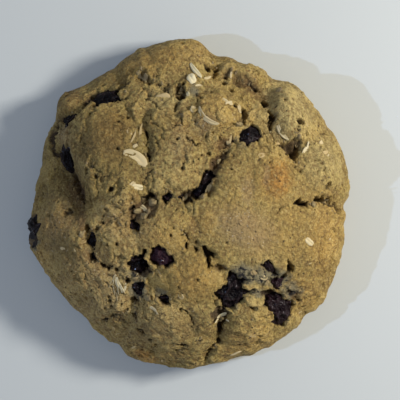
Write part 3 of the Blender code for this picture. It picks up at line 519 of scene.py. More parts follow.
class CrustSettings(PropertyGroup):
    """Sizes and colours of the baked crust."""

    flakes: number("Baked-in flakes", "How many oat flakes show as plates under the crust", 230)
    pores: number("Pores", "How many small steam holes are scattered over the crust", 180)
    grain: length("Grain", "Height of the fine grain of the crust", 0.12 * MM)
    dough: colour("Dough", "Colour of evenly baked dough", (0.52, 0.366, 0.11))
    shaded: colour("Damp dough", "Colour of the duller dough between the browned patches",
                   (0.415, 0.311, 0.096))
    golden: colour("Golden", "Colour of golden patches", (0.6, 0.365, 0.092))
    amber: colour("Amber", "Colour of the one patch that baked orange", (0.62, 0.3, 0.06))
    blush: colour("Blush", "Colour of dull, slightly pink dough", (0.42, 0.29, 0.145))
    sugar: colour("Sugar", "Colour of fine sugar grains on the dough", (0.8, 0.72, 0.6))
    brown: colour("Brown", "Colour of the most browned patches", (0.24, 0.14, 0.045))
    # Also painted light on the upper right lumps.
    pale: colour("Pale", "Colour of pale, floury dough", (0.6, 0.465, 0.182))
    # Painted highlight on raised edges, partly the paler rims of oat flakes.
    crest: colour("Crest", "Colour of the thin raised edges", (0.62, 0.46, 0.18))
    # Partly juice stain, partly painted shade inside the openings.
    stain: colour("Stain", "Colour of dough inside the openings", (0.1, 0.055, 0.025))
    # Multiplied over the darkened patches: painted shade on the sides away from the main light,
    # and darker baking.
    toast: colour("Toast", "How much darker the darker patches are", (0.67, 0.67, 0.64))
    smear: colour("Smear", "Colour of dough that raisin juice stained", (0.22, 0.195, 0.12))
    ink: colour("Ink", "Colour of the darkest specks of raisin juice", (0.012, 0.01, 0.013))
    # Painted shade deep in cracks, pores and openings.
    cavity: colour("Cavity", "Colour deep in cracks and pores", (0.06, 0.036, 0.015))


class RaisinSettings(PropertyGroup):
    """Sizes and colours of the raisins."""

    fold: length("Folds", "Depth of the wrinkles", 0.5 * MM)
    skin: colour("Skin", "Colour of a raisin's skin", (0.0035, 0.002, 0.0028))
    ridge: colour("Ridges", "Colour of the thin ridges that light comes through",
                  (0.022, 0.01, 0.013))
    purple: colour("Purple", "Colour of the redder raisins", (0.06, 0.022, 0.035))
    dust: colour("Dust", "Colour of dried dough on the skin", (0.11, 0.085, 0.07))


class OatSettings(PropertyGroup):
    """Sizes and colours of the loose oat flakes and crumbs."""

    thickness: length("Thickness", "Thickness of a rolled oat flake", 0.45 * MM)
    small_flakes: number("Small flakes", "How many broken flakes are scattered over the crust", 60)
    crumbs: number("Crumbs", "How many crumbs stick to the cracks", 380)
    flake: colour("Flake", "Colour of a dry flake", (0.72, 0.64, 0.41))
    toasted: colour("Toasted flake", "Colour of a flake that baked as brown as the crust",
                    (0.45, 0.33, 0.15))
    bran: colour("Bran", "Colour of the flake's darker bran lines", (0.36, 0.23, 0.09))


class StageSettings(PropertyGroup):
    """The floor, lights and camera."""

    floor: colour("Floor", "Colour of the pale floor", (0.505, 0.535, 0.54))
    camera_height: length("Camera height", "Height of the camera over the floor", 0.456)
    view_width: length("View width", "Width of the view at the height of the cookie's widest line",
                       0.1)


# ---- Shader maths -----------------------------------------------------------------------------
class Value:
    """A shader socket that Python's operators work on."""

    def __init__(self, finish, socket):
        self.finish = finish
        self.socket = socket

    def maths(self, operation, *others):
        inputs = dict(enumerate((self, *others)))
        return self.finish.node("ShaderNodeMath", {"operation": operation}, inputs)

    def __add__(self, other):
        return self.maths("ADD", other)

    def __sub__(self, other):
        return self.maths("SUBTRACT", other)

    def __rsub__(self, other):
        return self.finish.node("ShaderNodeMath", {"operation": "SUBTRACT"}, {0: other, 1: self})

    def __mul__(self, other):
        return self.maths("MULTIPLY", other)

    __radd__ = __add__
    __rmul__ = __mul__

    def clamped(self):
        return self.maths("MINIMUM", 1.0).maths("MAXIMUM", 0.0)


class Finish:
    """A material under construction, with short ways to add its nodes."""

    def __init__(self, name):
        self.material = bpy.data.materials.new(name)
        self.material.use_nodes = True
        self.tree = self.material.node_tree
        self.shader = self.tree.nodes["Principled BSDF"]

    def node(self, kind, settings=None, inputs=None, output=0):
        """Adds a node: its settings first, then the values or links of its sockets."""
        made = self.tree.nodes.new(kind)
        for key, value in (settings or {}).items():
            if key == "stops":
                self.set_stops(made.color_ramp, value)
            else:
                setattr(made, key, value)
        for key, value in (inputs or {}).items():
            self.feed(made.inputs[key], value)
        return Value(self, made.outputs[output])

    def set_stops(self, ramp, stops):
        while len(ramp.elements) < len(stops):
            ramp.elements.new(1.0)
        for element, (position, level) in zip(ramp.elements, stops):
            element.position = position
            element.color = (level, level, level, 1.0)

    def feed(self, socket, value):
        if isinstance(value, Value):
            self.tree.links.new(value.socket, socket)
        elif socket.type == "RGBA":
            socket.default_value = (*tuple(value)[:3], 1.0)
        else:
            socket.default_value = value

    def attribute(self, name):
        return self.node("ShaderNodeAttribute", {"attribute_name": name}, output="Fac")

    def place(self):
        return self.node("ShaderNodeTexCoord", output="Object")

    def cloud(self, width, detail=3.0, roughness=0.55):
        """Smooth noise with blobs of the given width in metres."""
        inputs = {"Vector": self.place(), "Scale": 1.0 / width, "Detail": detail}
        inputs["Roughness"] = roughness
        return self.node("ShaderNodeTexNoise", None, inputs, output="Fac")

    def vector(self, operation, *inputs):
        return self.node("ShaderNodeVectorMath", {"operation": operation}, dict(enumerate(inputs)))

    def ragged_place(self, width, reach):
        """The place, shifted by up to the reach in blobs of the given width, both in metres."""
        inputs = {"Vector": self.place(), "Scale": 1.0 / width, "Detail": 2.0}
        noise = self.node("ShaderNodeTexNoise", None, inputs, output="Color")
        shift = self.vector("SUBTRACT", noise, (0.5, 0.5, 0.5))
        shift = self.vector("MULTIPLY", shift, (2.0 * reach,) * 3)
        return self.vector("ADD", self.place(), shift)

    def cells(self, width, feature="F1"):
        """Distance from the middle, or from the edge, of grains of the given width in metres."""
        inputs = {"Vector": self.ragged_place(width, 0.5 * width), "Scale": 1.0 / width}
        return self.node("ShaderNodeTexVoronoi", {"feature": feature}, inputs, output="Distance")

    def ramp(self, value, *stops):
        return self.node("ShaderNodeValToRGB", {"stops": stops}, {"Fac": value})

    def mix(self, share, first, second, blend="MIX"):
        settings = {"data_type": "RGBA", "blend_type": blend}
        return self.node("ShaderNodeMix", settings, {0: share, 6: first, 7: second}, output=2)

    def layered(self, colour, *layers):
        """A colour with others over it, each mixed in by its share."""
        for share, layer in layers:
            colour = self.mix(share, colour, layer)
        return colour

    def bump(self, height, distance, strength=1.0, normal=None):
        inputs = {"Height": height, "Distance": distance, "Strength": strength}
        if normal is not None:
            inputs["Normal"] = normal
        return self.node("ShaderNodeBump", None, inputs)

    def set(self, **inputs):
        """Feeds the shader's own sockets, named with _ for a space."""
        for key, value in inputs.items():
            self.feed(self.shader.inputs[key.replace("_", " ")], value)


# ---- Form of the crust ------------------------------------------------------------------------
def smooth_step(low, high, value):
    """0 up to low, 1 from high on, and a smooth rise between."""
    t = np.clip((value - low) / (high - low), 0.0, 1.0)
    return t * t * (3.0 - 2.0 * t)


def outline(angle):
    """The cookie's radius at the widest line in each direction, in millimetres."""
    degrees = np.degrees(angle)
    radius = np.full_like(degrees, RADIUS)
    for bulge in (*BULGES, *FRILLS):
        away = np.abs((degrees - bulge.degrees + 180.0) % 360.0 - 180.0)
        radius += bulge.mm * (1.0 - smooth_step(0.0, bulge.reach_degrees, away))
    return radius


def dome_profile():
    """Half of the turned section from the top's middle to the underside's middle.

    Returns the share of the whole area that lies above each point, the point's share of the
    outline's radius, its height, and the outward normal's two parts."""
    turn = np.linspace(0.0, math.pi / 2, DOME_STEPS)
    dome = np.sin(turn) ** (2 / DOME_FULLNESS)
    dome_z = WAIST + (CROWN - WAIST) * np.cos(turn) ** (2 * DOME_SHOULDER)
    turn = np.linspace(0.0, math.pi / 2, HEEL_STEPS)[1:]
    heel = 1.0 - FOOT_INSET / RADIUS * (1.0 - np.cos(turn))
    heel_z = WAIST * (1.0 - np.sin(turn))
    foot = np.linspace(heel[-1], 0.0, HEEL_STEPS)[1:]
    share = np.concatenate([dome, heel, foot])
    height = np.concatenate([dome_z, heel_z, np.zeros(len(foot))])
    step_out = np.diff(share) * RADIUS
    step_up = np.diff(height)
    step = np.hypot(step_out, step_up)
    density = SIDE_SHARE + (1.0 - SIDE_SHARE) * np.abs(step_out) / step
    density[-len(foot):] = FOOT_SHARE
    ring = step * (share[1:] + share[:-1]) * density
    above = np.concatenate([[0.0], np.cumsum(ring)])
    normal_out = np.concatenate([[0.0], -step_up / step])
    normal_up = np.concatenate([[1.0], step_out / step])
    return above / above[-1], share, height, normal_out, normal_up


PROFILE = dome_profile()


def outward(angle, out, up):
    """Normals that lean out by one part and up by another, in each direction."""
    normal = np.column_stack([np.cos(angle) * out, np.sin(angle) * out, up])
    return normal / np.linalg.norm(normal, axis=1)[:, None]


def on_dome(direction):
    """Points of a unit sphere carried to the plain dome: places and outward normals."""
    above, share, height, normal_out, normal_up = PROFILE
    depth = np.sqrt(np.clip((1.0 - direction[:, 2]) / 2.0, 0.0, 1.0))
    key = np.sqrt(above)
    angle = np.arctan2(direction[:, 1], direction[:, 0])
    radius = outline(angle) * np.interp(depth, key, share)
    along = np.column_stack([np.cos(angle), np.sin(angle)])
    place = np.column_stack([along * radius[:, None], np.interp(depth, key, height)])
    out = np.interp(depth, key, normal_out)
    up = np.interp(depth, key, normal_up)
    return place, outward(angle, out, up)


def dome_over(x, y):
    """The plain dome's places and normals over points of the plan."""
    _, share, height, normal_out, normal_up = [values[:DOME_STEPS] for values in PROFILE]
    angle = np.arctan2(y, x)
    reach = np.hypot(x, y) / outline(angle)
    place = np.column_stack([x, y, np.interp(reach, share, height)])
    out = np.interp(reach, share, normal_out)
    up = np.interp(reach, share, normal_up)
    return place, outward(angle, out, up)


def soft_noise(place, width, seed, octaves=1):
    """Noise from about -1 to 1 whose blobs have the given width in millimetres."""
    shift = Vector((17.3 * seed, -9.1 * seed, 5.7 * seed))
    scale = 1.0 / width
    return np.array([noise.fractal(Vector(p) * scale + shift, 1.0, 2.0, octaves) for p in place])


def ellipse_distance(x, y, shape):
    """0 at an ellipse's middle and 1 on its edge."""
    turn = math.radians(shape.yaw)
    along = (x - shape.x) * math.cos(turn) + (y - shape.y) * math.sin(turn)
    across = (y - shape.y) * math.cos(turn) - (x - shape.x) * math.sin(turn)
    return np.hypot(along / shape.length, across / shape.width)


def turned(u, v, degrees):
    """Points of the plan, turned anticlockwise."""
    yaw = math.radians(degrees)
    return u * math.cos(yaw) - v * math.sin(yaw), u * math.sin(yaw) + v * math.cos(yaw)


def lump_height(x, y, lumps):
    """Height that lumps add to the dome: the highest lump at each place."""
    height = np.zeros_like(x)
    for lump in lumps:
        away = ellipse_distance(x, y, lump)
        height = np.maximum(height, lump.amount * (1.0 - np.minimum(away, 1.0) ** 2.2))
    return height


def patch_cover(x, y, patches):
    """How strongly soft-edged patches cover each place, from 0 to 1."""
    cover = np.zeros_like(x)
    for patch in patches:
        spread = patch.amount * (1.0 - smooth_step(0.3, 1.25, ellipse_distance(x, y, patch)))
        cover = np.maximum(cover, spread)
    return cover


def route_distance(x, y, route):
    """The distance to a route of straight runs, and how far along it the nearest point is."""
    points = np.array(route, float)
    lengths = np.linalg.norm(np.diff(points, axis=0), axis=1)
    starts = np.concatenate([[0.0], np.cumsum(lengths)])
    distance = np.full_like(x, np.inf)
    travelled = np.zeros_like(x)
    for first, last, start, length in zip(points[:-1], points[1:], starts, lengths):
        run = (last - first) / length
        along = np.clip((x - first[0]) * run[0] + (y - first[1]) * run[1], 0.0, length)
        away = np.hypot(x - first[0] - along * run[0], y - first[1] - along * run[1])
        closer = away < distance
        distance = np.where(closer, away, distance)
        travelled = np.where(closer, start + along, travelled)
    return distance, travelled, starts[-1]


def edge_distance(x, y, corners):
    """The distance to a closed edge: negative inside it and positive outside."""
    points = np.array(corners, float)
    distance = np.full_like(x, np.inf)
    inside = np.zeros(len(x), bool)
    for (first_x, first_y), (last_x, last_y) in zip(points, np.roll(points, -1, axis=0)):
        run_x, run_y = last_x - first_x, last_y - first_y
        along = ((x - first_x) * run_x + (y - first_y) * run_y) / (run_x**2 + run_y**2)
        along = np.clip(along, 0.0, 1.0)
        away = np.hypot(x - first_x - along * run_x, y - first_y - along * run_y)
        distance = np.minimum(distance, away)
        beside = (first_y > y) != (last_y > y)
        meets = first_x + (y - first_y) * run_x / (run_y or 1.0)
        inside ^= beside & (x < meets)
    return np.where(inside, -distance, distance)


def valley_depth(x, y):
    """Depth of the valleys between the lumps."""
    depth = np.zeros_like(x)
    for valley in VALLEYS:
        distance, along, length = route_distance(x, y, valley.route)
        ends = smooth_step(-0.5 * END_TAPER, END_TAPER, np.minimum(along, length - along))
        slope = 1.0 - smooth_step(0.0, 1.0, distance / valley.width)
        depth = np.maximum(depth, valley.depth * ends * slope)
    return depth


def split_depth(x, y, bridges):
    """Depth of the thin splits, which the crust bridges here and there."""
    depth = np.zeros_like(x)
    for split in SPLITS:
        distance, along, length = route_distance(x, y, split.route)
        ends = 0.5 + 0.5 * smooth_step(0.0, END_TAPER, np.minimum(along, length - along))
        half = 0.5 * split.width * ends * (0.55 + 0.9 * bridges)
        slope = 1.0 - smooth_step(0.4, 1.3, distance / half)
        depth = np.maximum(depth, split.depth * bridges * slope)
    return depth


class Lie:
    """Where a raisin of the frame lies: its middle, three axes and half thickness, in millimetres.
    """

    def __init__(self, node):
        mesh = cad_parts[node].data
        corners = np.array([vertex.co[:] for vertex in mesh.vertices]) / MM
        self.middle = (corners.max(axis=0) + corners.min(axis=0)) / 2
        _, normal = dome_over(self.middle[:1], self.middle[1:2])
        self.up = normal[0]
        flat = corners - self.middle
        flat -= np.outer(flat @ self.up, self.up)
        _, axes = np.linalg.eigh(flat.T @ flat)
        self.long = axes[:, 2]
        self.side = np.cross(self.up, self.long)
        self.half_thickness = np.abs((corners - self.middle) @ self.up).max()


def opening_depth(surface, x, y, floor_noise, lies):
    """Depth of the openings and of the tears over the raisins, the distance to their edges and
    how dark their dough is: partly stain, partly painted shade."""
    depth = np.zeros_like(x)
    nearest = np.full_like(x, 9.0)
    stain = np.zeros_like(x)
    for opening in OPENINGS:
        edge = edge_distance(x, y, opening.corners)
        wall = 1.0 - smooth_step(-WALL_WIDTH, 0.15, edge)
        depth = np.maximum(depth, opening.depth * (0.75 + 0.45 * floor_noise) * wall)
        stain = np.maximum(stain, opening.stain * wall)
        nearest = np.minimum(nearest, edge)
    for node, lie in lies.items():
        edge = edge_distance(x, y, WINDOWS[node])
        wall = 1.0 - smooth_step(-WALL_WIDTH, 0.35, edge)
        over = np.maximum((surface - lie.middle) @ lie.up - 0.1 * lie.half_thickness, 0.0)
        depth = np.maximum(depth, np.minimum(over, 5.0) * wall)
        stain = np.maximum(stain, wall)
        nearest = np.minimum(nearest, edge)
    return depth, nearest, stain


def scattered(count, rng, weight):
    """Random spots on the dome, each kept by its weight: places and normals."""
    places, normals = [], []
    while len(places) < count:
        direction = rng.normal(size=(count, 3))
        direction /= np.linalg.norm(direction, axis=1)[:, None]
        place, normal = on_dome(direction)
        keep = (rng.random(count) < weight(place)) & (place[:, 2] > 2.0)
        places.extend(place[keep])
        normals.extend(normal[keep])
    return places[:count], normals[:count]


def roughness_at(place):
    """1 where oats show through the crust, and less where the dough rose calm and at the rim."""
    rim = 1.0 - smooth_step(5.0, 12.0, place[:, 2])
    return (1.0 - 0.85 * patch_cover(place[:, 0], place[:, 1], CALM)) * (1.0 - 0.5 * rim)


def flake_plates(place, ragged, count):
    """Oat flakes baked into the crust: overlapping tilted plates with a sharp rim."""
    rng = np.random.default_rng(PLATE_SEED)
    plates = np.zeros(len(place))
    centres, normals = scattered(count, rng, roughness_at)
    for centre, normal in zip(centres, normals):
        long = np.cross(normal, rng.normal(size=3))
        long /= np.linalg.norm(long)
        side = np.cross(normal, long)
        length = rng.uniform(2.0, 4.2)
        width = length * rng.uniform(0.6, 0.9)
        tilt_long, tilt_side = rng.normal(0.0, 0.22, 2)
        rise = rng.uniform(0.0, 0.45)
        away = place - centre
        near = np.flatnonzero(np.abs(away).max(axis=1) < length * 1.2)
        along = away[near] @ long / length
        across = away[near] @ side / width
        rim = 1.0 - smooth_step(0.84, 1.0, np.hypot(along, across) + ragged[near])
        plate = (rise + tilt_long * along + tilt_side * across) * rim
        plates[near] = np.maximum(plates[near], plate)
    return plates


def pore_depth(place, ragged, count):
    """Small steam holes: those listed, and more scattered over the rough dough."""
    rng = np.random.default_rng(PORE_SEED)
    depth = np.zeros(len(place))
    listed, _ = dome_over(np.array([p.x for p in PORES]), np.array([p.y for p in PORES]))
    centres, _ = scattered(count, rng, roughness_at)
    sizes = [(pore.radius, pore.depth) for pore in PORES]
    sizes += [(radius, 2.2 * radius) for radius in 0.28 + 0.4 * rng.random(count) ** 3]
    for centre, (radius, deep) in zip([*listed, *centres], sizes):
        away = place - centre
        near = np.flatnonzero(np.abs(away).max(axis=1) < radius)
        distance = np.linalg.norm(away[near], axis=1) / radius + 2.1 * ragged[near]
        depth[near] = np.maximum(depth[near], deep * (1.0 - smooth_step(0.35, 1.0, distance)))
    return depth


def crust_relief(place, lies, settings):
    """What is added to the plain dome along its normal, and the masks that the finish reads.

    Every wobble has a seed of its own, so that no two follow each other."""

    def wobble(amount, width, seed, octaves=1):
        return amount * soft_noise(place, width, seed, octaves)

    x, y = place[:, 0], place[:, 1]
    rough = roughness_at(place)
    ragged_x = x + wobble(0.4, 2.2, 1) + wobble(0.45, 0.9, 2, 3)
    ragged_y = y + wobble(0.4, 2.2, 3) + wobble(0.45, 0.9, 4, 3)
    ragged = wobble(0.22, 2.0, 5) + wobble(0.16, 0.8, 6, 2)
    valleys = valley_depth(x + wobble(0.9, 3.5, 10), y + wobble(0.9, 3.5, 11))
    lump = lump_height(x, y, LUMPS) + lump_height(ragged_x, ragged_y, KNOBS)
    swell = wobble(0.5, 7.0, 7) + rough * wobble(0.25, 2.8, 8)
    plates = flake_plates(place, ragged, settings.flakes) * (0.35 + 0.65 * rough)
    grit = wobble(1.0, 0.95, 9, 3)
    crevices = np.clip(1.0 - np.abs(wobble(1.0, 2.6, 14, 2)) / CREVICE_WIDTH, 0.0, 1.0)
    crevices *= smooth_step(-0.1, 0.35, wobble(1.0, 5.0, 15)) * rough
    pores = pore_depth(place, ragged, settings.pores)
    up = np.column_stack([0 * x, 0 * x, lump - valleys])
    floor_noise = np.clip(0.5 + wobble(1.0, 0.9, 12, 2), 0.0, 1.0)
    torn, edge, stain = opening_depth(place + up, ragged_x, ragged_y, floor_noise, lies)
    bridges = smooth_step(-0.25, 0.15, wobble(1.0, BRIDGE_LENGTH, 13))
    splits = split_depth(ragged_x, ragged_y, bridges)
    lips = LIP_HEIGHT * np.exp(-(np.maximum(edge, 0.0) / LIP_WIDTH) ** 2) * (edge > 0)
    grain = settings.grain / MM * (0.45 + rough + 1.2 * (torn > 0.4)) * grit
    raised = lump + swell + plates + grain + lips
    sunk = valleys + torn + splits + pores + CREVICE_DEPTH * crevices
    # Painted highlight on raised plates, grit and lips; low values paint shade where valleys lie.
    crest = 0.5 + 0.9 * (plates - 0.3) + 0.35 * grit + 1.2 * lips - 0.2 * valleys
    # Painted shade: how dark the splits, pores, crevices and openings are painted, by their depth,
    # darkest in the most stained openings.
    narrow = np.clip((splits + 0.75 * pores) / 1.3, 0.0, 1.0) + 0.4 * crevices
    deepest_shade = 2.5 * np.maximum(stain - 1.0, 0.0)
    masks = {name: patch_cover(ragged_x, ragged_y, rows) for name, rows in PATCHES.items()}
    masks["cavity"] = np.clip(torn / 2.6, 0.0, 1.0) ** 1.2 + narrow + deepest_shade
    masks["crest"] = np.clip(crest, 0.0, 1.0)
    masks["stain"] = stain
    masks["rough"] = rough
    return raised - sunk, masks


# ---- Mesh helpers -----------------------------------------------------------------------------
def deselect():
    bpy.ops.object.select_all(action="DESELECT")


def positions(mesh):
    co = np.empty(len(mesh.vertices) * 3, np.float32)
    mesh.vertices.foreach_get("co", co)
    return co.reshape(-1, 3).astype(float)


def put_positions(mesh, co):
    mesh.vertices.foreach_set("co", co.astype(np.float32).ravel())
    mesh.update()


def put_mask(mesh, name, values):
    layer = mesh.attributes.new(name, "FLOAT", "POINT")
    layer.data.foreach_set("value", np.asarray(values, np.float32))


def finished(piece, material, slot, *nodes):
    """Gives a finished piece its material and its place in the frame."""
    piece.data.materials.clear()
    piece.data.materials.append(material)
    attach(piece, "root")
    if nodes:
        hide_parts(*nodes)


# ---- Crust ------------------------------------------------------------------------------------
def crust_finish(settings):
    """Baked dough: mottled tan with golden, brown and pale patches; painted shade in the cracks,
    pores and on the sides away from the main light, painted light on the upper right lumps,
    painted highlights on raised edges.
    """
    finish = Finish("baked_crust")
    cloud, cells, ramp, mask = finish.cloud, finish.cells, finish.ramp, finish.attribute
    rough, golden, blush, crest = mask("rough"), mask("golden"), mask("blush"), mask("crest")
    mottle = cloud(0.0022, 4.0, 0.65)
    speck = cloud(0.0006, 3.0, 0.7)
    grain = cells(0.0011)
    # Painted shade in the gaps between the grains.
    gap_shade = ramp(grain + 0.5 * (mottle - 0.5), (0.5, 0), (0.8, 1))
    dark = ramp(speck, (0.34, 1), (0.46, 0)) * (0.55 + 0.45 * rough) + gap_shade * (0.1 + 0.3 * rough)
    # A network of fine cracks, bumped and painted with the cavity shade.
    crackle = ramp(cells(0.0035, "DISTANCE_TO_EDGE"), (0.01, 1), (0.04, 0))
    crackle = crackle * ramp(cloud(0.0022), (0.55, 0), (0.62, 1)) * rough
    baked = finish.layered(
        settings.dough,
        (ramp(cloud(0.011), (0.35, 0), (0.65, 1)), settings.shaded),
        (ramp(cloud(0.0045, 2.0), (0.46, 0), (0.66, 1)) * 0.3, settings.golden),
        (ramp(cloud(0.0034, 2.0), (0.52, 0), (0.72, 1)) * rough * 0.4, settings.brown),
        (mask("brown") * (0.4 + mottle), settings.brown),
        # Pale dough; on the upper right lumps this is painted light.
        (mask("pale") * (0.3 + mottle), settings.pale),
        ((golden * (0.45 + mottle)).clamped(), settings.golden),
        (ramp(golden * 0.6, (0.4, 0), (0.95, 1)), settings.amber),
        # Painted highlight on raised edges, partly pale oat-flake rims; painted shade where the
        # relief lies low.
        (ramp(crest, (0.45, 0), (0.95, 1)) * 0.55, settings.crest),
        (ramp(crest, (0.1, 1), (0.42, 0)) * 0.45, settings.cavity),
        # Light specks of the highlight colour: pale grains, partly painted glints.
        (ramp(speck, (0.52, 0), (0.66, 1)) * 0.75, settings.crest),
        ((blush * (0.4 + mottle)).clamped(), settings.blush),
        (ramp(cells(0.0009), (0.12, 1), (0.2, 0)) * blush * 0.8, settings.sugar),
        # Dark specks, and painted shade between the grains.
        (dark.clamped(), settings.brown),
        (crackle * 0.6, settings.cavity),
    )
    # Painted shade: the darkened patches, mostly on the sides away from the main light, are
    # multiplied by this colour.
    toasted = finish.mix(mask("toasted"), baked, settings.toast, "MULTIPLY")
    inky = 0.5 * mask("smear") + 0.9 * cloud(0.0014, 3.0, 0.65)
    # Painted shade in pinholes.
    pit = ramp(cells(0.0019), (0.09, 1), (0.17, 0)) * ramp(cloud(0.005), (0.44, 0), (0.54, 1))
    hollow_shade = ramp((mask("cavity") + 0.5 * (mottle - 0.5)).clamped(), (0.25, 0), (0.7, 1))
    colour = finish.layered(
        toasted,
        (ramp(mask("smear") + 0.9 * (mottle - 0.5), (0.25, 0), (0.7, 0.85)), settings.smear),
        # Dough inside the openings and tears: partly juice stain, partly painted shade.
        (mask("stain") * 0.75, settings.stain),
        (ramp(inky, (0.84, 0), (0.9, 0.95)), settings.ink),
        # Painted shade deep in the cracks, pores, openings and pinholes.
        ((hollow_shade + pit * 0.85).clamped(), settings.cavity),
    )
    crumb = finish.bump(cloud(0.0011, 4.0, 0.75), 0.0016)
    pebbled = finish.bump(grain * -1.0 - pit - crackle, 0.0003, 0.8, crumb)
    finish.set(
        Base_Color=colour,
        Roughness=0.85 - 0.25 * mottle,
        Normal=finish.bump(cloud(0.0004, 2.0, 0.6), 0.0003, 0.8, pebbled),
        Specular_IOR_Level=0.35,
    )
    return finish.material


class COOKIE_OT_crust(Operator):
    """Bakes the crust over the whole cookie"""

    bl_idname = "cookie.crust"
    bl_label = "Crust"

    def execute(self, context):
        settings = context.scene.cookie_crust
        deselect()
        bpy.ops.mesh.primitive_cube_add(size=2.0)
        crust = context.object
        crust.name = "baked_crust"
        bpy.ops.object.mode_set(mode="EDIT")
        bpy.ops.mesh.select_all(action="SELECT")
        bpy.ops.mesh.subdivide(number_cuts=1)
        bpy.ops.mesh.subdivide(number_cuts=CRUST_CUTS)
        bpy.ops.object.mode_set(mode="OBJECT")
        spread = np.tan(np.clip(positions(crust.data), -1.0, 1.0) * math.pi / 4)
        direction = spread / np.linalg.norm(spread, axis=1)[:, None]
        place, normal = on_dome(direction)
        lies = {node: Lie(node) for node in RAISIN_NODES}
        lift, masks = crust_relief(place, lies, settings)
        held = smooth_step(0.4, 4.0, place[:, 2])
        place += normal * (lift * held)[:, None]
        put_positions(crust.data, place * MM)
        for name, values in masks.items():
            put_mask(crust.data, name, values if name == "crest" else values * held)
        bpy.ops.object.shade_smooth()
        finished(crust, crust_finish(settings), "baked_dough", "cookie")
        return {"FINISHED"}


# ---- Raisins ----------------------------------------------------------------------------------
def raisin_finish(settings):
    """Dried grape skin: nearly black, dull in the folds, glossy and redder on the ridges."""
    finish = Finish("raisin_skin")
    patchy = finish.cloud(0.0025)
    ridge = finish.ramp(finish.attribute("ridge"), (0.5, 0), (0.95, 1))
    dust = finish.ramp(finish.cloud(0.0012, 4.0, 0.7), (0.6, 0), (0.72, 1))
    colour = finish.layered(
        settings.skin,
        ((ridge * (0.2 + patchy)).clamped(), settings.ridge),
        (finish.attribute("purple") * (0.15 + patchy), settings.purple),
        (dust * 0.1, settings.dust),
    )
    crease = finish.bump(finish.cloud(0.0009, 2.0, 0.5), 0.0009)
    finish.set(
        Base_Color=colour,
        Roughness=0.12 + 0.3 * patchy,
        Normal=finish.bump(finish.cloud(0.0003, 2.0, 0.6), 0.0002, 0.8, crease),
        Coat_Weight=ridge * 0.3,
        Coat_Roughness=0.12,
        Specular_IOR_Level=0.1,
    )
    return finish.material


class COOKIE_OT_raisins(Operator):
    """Wrinkles a raisin over each raisin of the frame"""

    bl_idname = "cookie.raisins"
    bl_label = "Raisins"

    def execute(self, context):
        settings = context.scene.cookie_raisins
        skin = raisin_finish(settings)
        for index, node in enumerate(RAISIN_NODES):
            deselect()
            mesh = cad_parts[node].data.copy()
            raisin = bpy.data.objects.new(node.replace("raisin", "wrinkled_raisin"), mesh)
            context.collection.objects.link(raisin)
            context.view_layer.objects.active = raisin
            raisin.select_set(True)
            bpy.ops.object.mode_set(mode="EDIT")
            bpy.ops.mesh.select_all(action="SELECT")
            bpy.ops.mesh.remove_doubles(threshold=0.00001)
            bpy.ops.mesh.tris_convert_to_quads()
            bpy.ops.object.mode_set(mode="OBJECT")
            rounding = raisin.modifiers.new("rounding", "SUBSURF")
            rounding.levels = rounding.render_levels = RAISIN_LEVELS
            bpy.ops.object.modifier_apply(modifier=rounding.name)
            swell = RIM_RAISIN_SWELL if node == "raisin_04" else RAISIN_SWELL
            self.wrinkle(mesh, Lie(node), index, settings.fold / MM, swell)
            put_mask(mesh, "purple", np.full(len(mesh.vertices), PURPLE.get(node, 0.0)))
            bpy.ops.object.shade_smooth()
            finished(raisin, skin, "raisin_skin", node)
        return {"FINISHED"}

    def wrinkle(self, mesh, lie, index, fold, swell):
        """Draws the skin into folds that run mostly along the raisin."""
        away = positions(mesh) / MM - lie.middle
        axes = np.column_stack([lie.long, lie.side, lie.up])
        local = away @ axes
        outward_ray = away / np.linalg.norm(away, axis=1)[:, None]
        stretched = local * np.array([0.6, 1.0, 1.0])
        broad = np.abs(soft_noise(stretched, 1.9, FOLD_NOISE + index))
        fine = np.abs(soft_noise(stretched, 0.8, CRINKLE_NOISE + index))
        ridge = 1.0 - np.clip(2.4 * broad, 0.0, 1.0)
        crinkle = 1.0 - np.clip(2.2 * fine, 0.0, 1.0)
        lift = fold * (1.2 * ridge + 0.6 * crinkle - 0.8)
        put_positions(mesh, (lie.middle + away * swell + outward_ray * lift[:, None]) * MM)
        put_mask(mesh, "ridge", np.clip(0.7 * ridge + 0.3 * crinkle, 0.0, 1.0))


# ---- Oat flakes and crumbs --------------------------------------------------------------------
class Bed:
    """The crust under a small piece, as a smooth sheet that a flake or a crumb lies on."""

    def __init__(self, tree, place, normal, reach):
        lean = Vector((0.0, 0.0, 1.0)).rotation_difference(Vector(normal))
        self.turn = np.array(lean.to_matrix())
        self.start = place + BED_ABOVE * normal
        steps = np.linspace(-reach, reach, BED_PROBES)
        u, v = (grid.ravel() for grid in np.meshgrid(steps, steps))
        height = np.array([self.probe(tree, *step) for step in zip(u, v)])
        middle = height[len(height) // 2]
        height = np.clip(height, middle - 0.6, middle + 0.6)
        self.fit = np.linalg.lstsq(self.terms(u, v), height, rcond=None)[0]

    def probe(self, tree, u, v):
        """Height of the crust over the bed's own level."""
        start = Vector((self.start + self.turn @ np.array([u, v, 0.0])) * MM)
        distance = tree.ray_cast(start, Vector(-self.turn[:, 2]))[3]
        return BED_ABOVE - (distance / MM if distance else BED_ABOVE)

    def terms(self, u, v):
        """The six shares of a sheet that curves both ways."""
        return np.column_stack([np.ones_like(u), u, v, u * u, u * v, v * v])

    def lay(self, u, v, lift):
        """Places of points at (u, v) on the bed, lifted off it."""
        height = self.terms(u, v) @ self.fit + lift - BED_ABOVE
        return self.start + np.column_stack([u, v, height]) @ self.turn.T


def crust_tree():
    """The finished crust, to find where small pieces lie on it."""
    return BVHTree.FromObject(bpy.data.objects["baked_crust"],
                              bpy.context.evaluated_depsgraph_get())


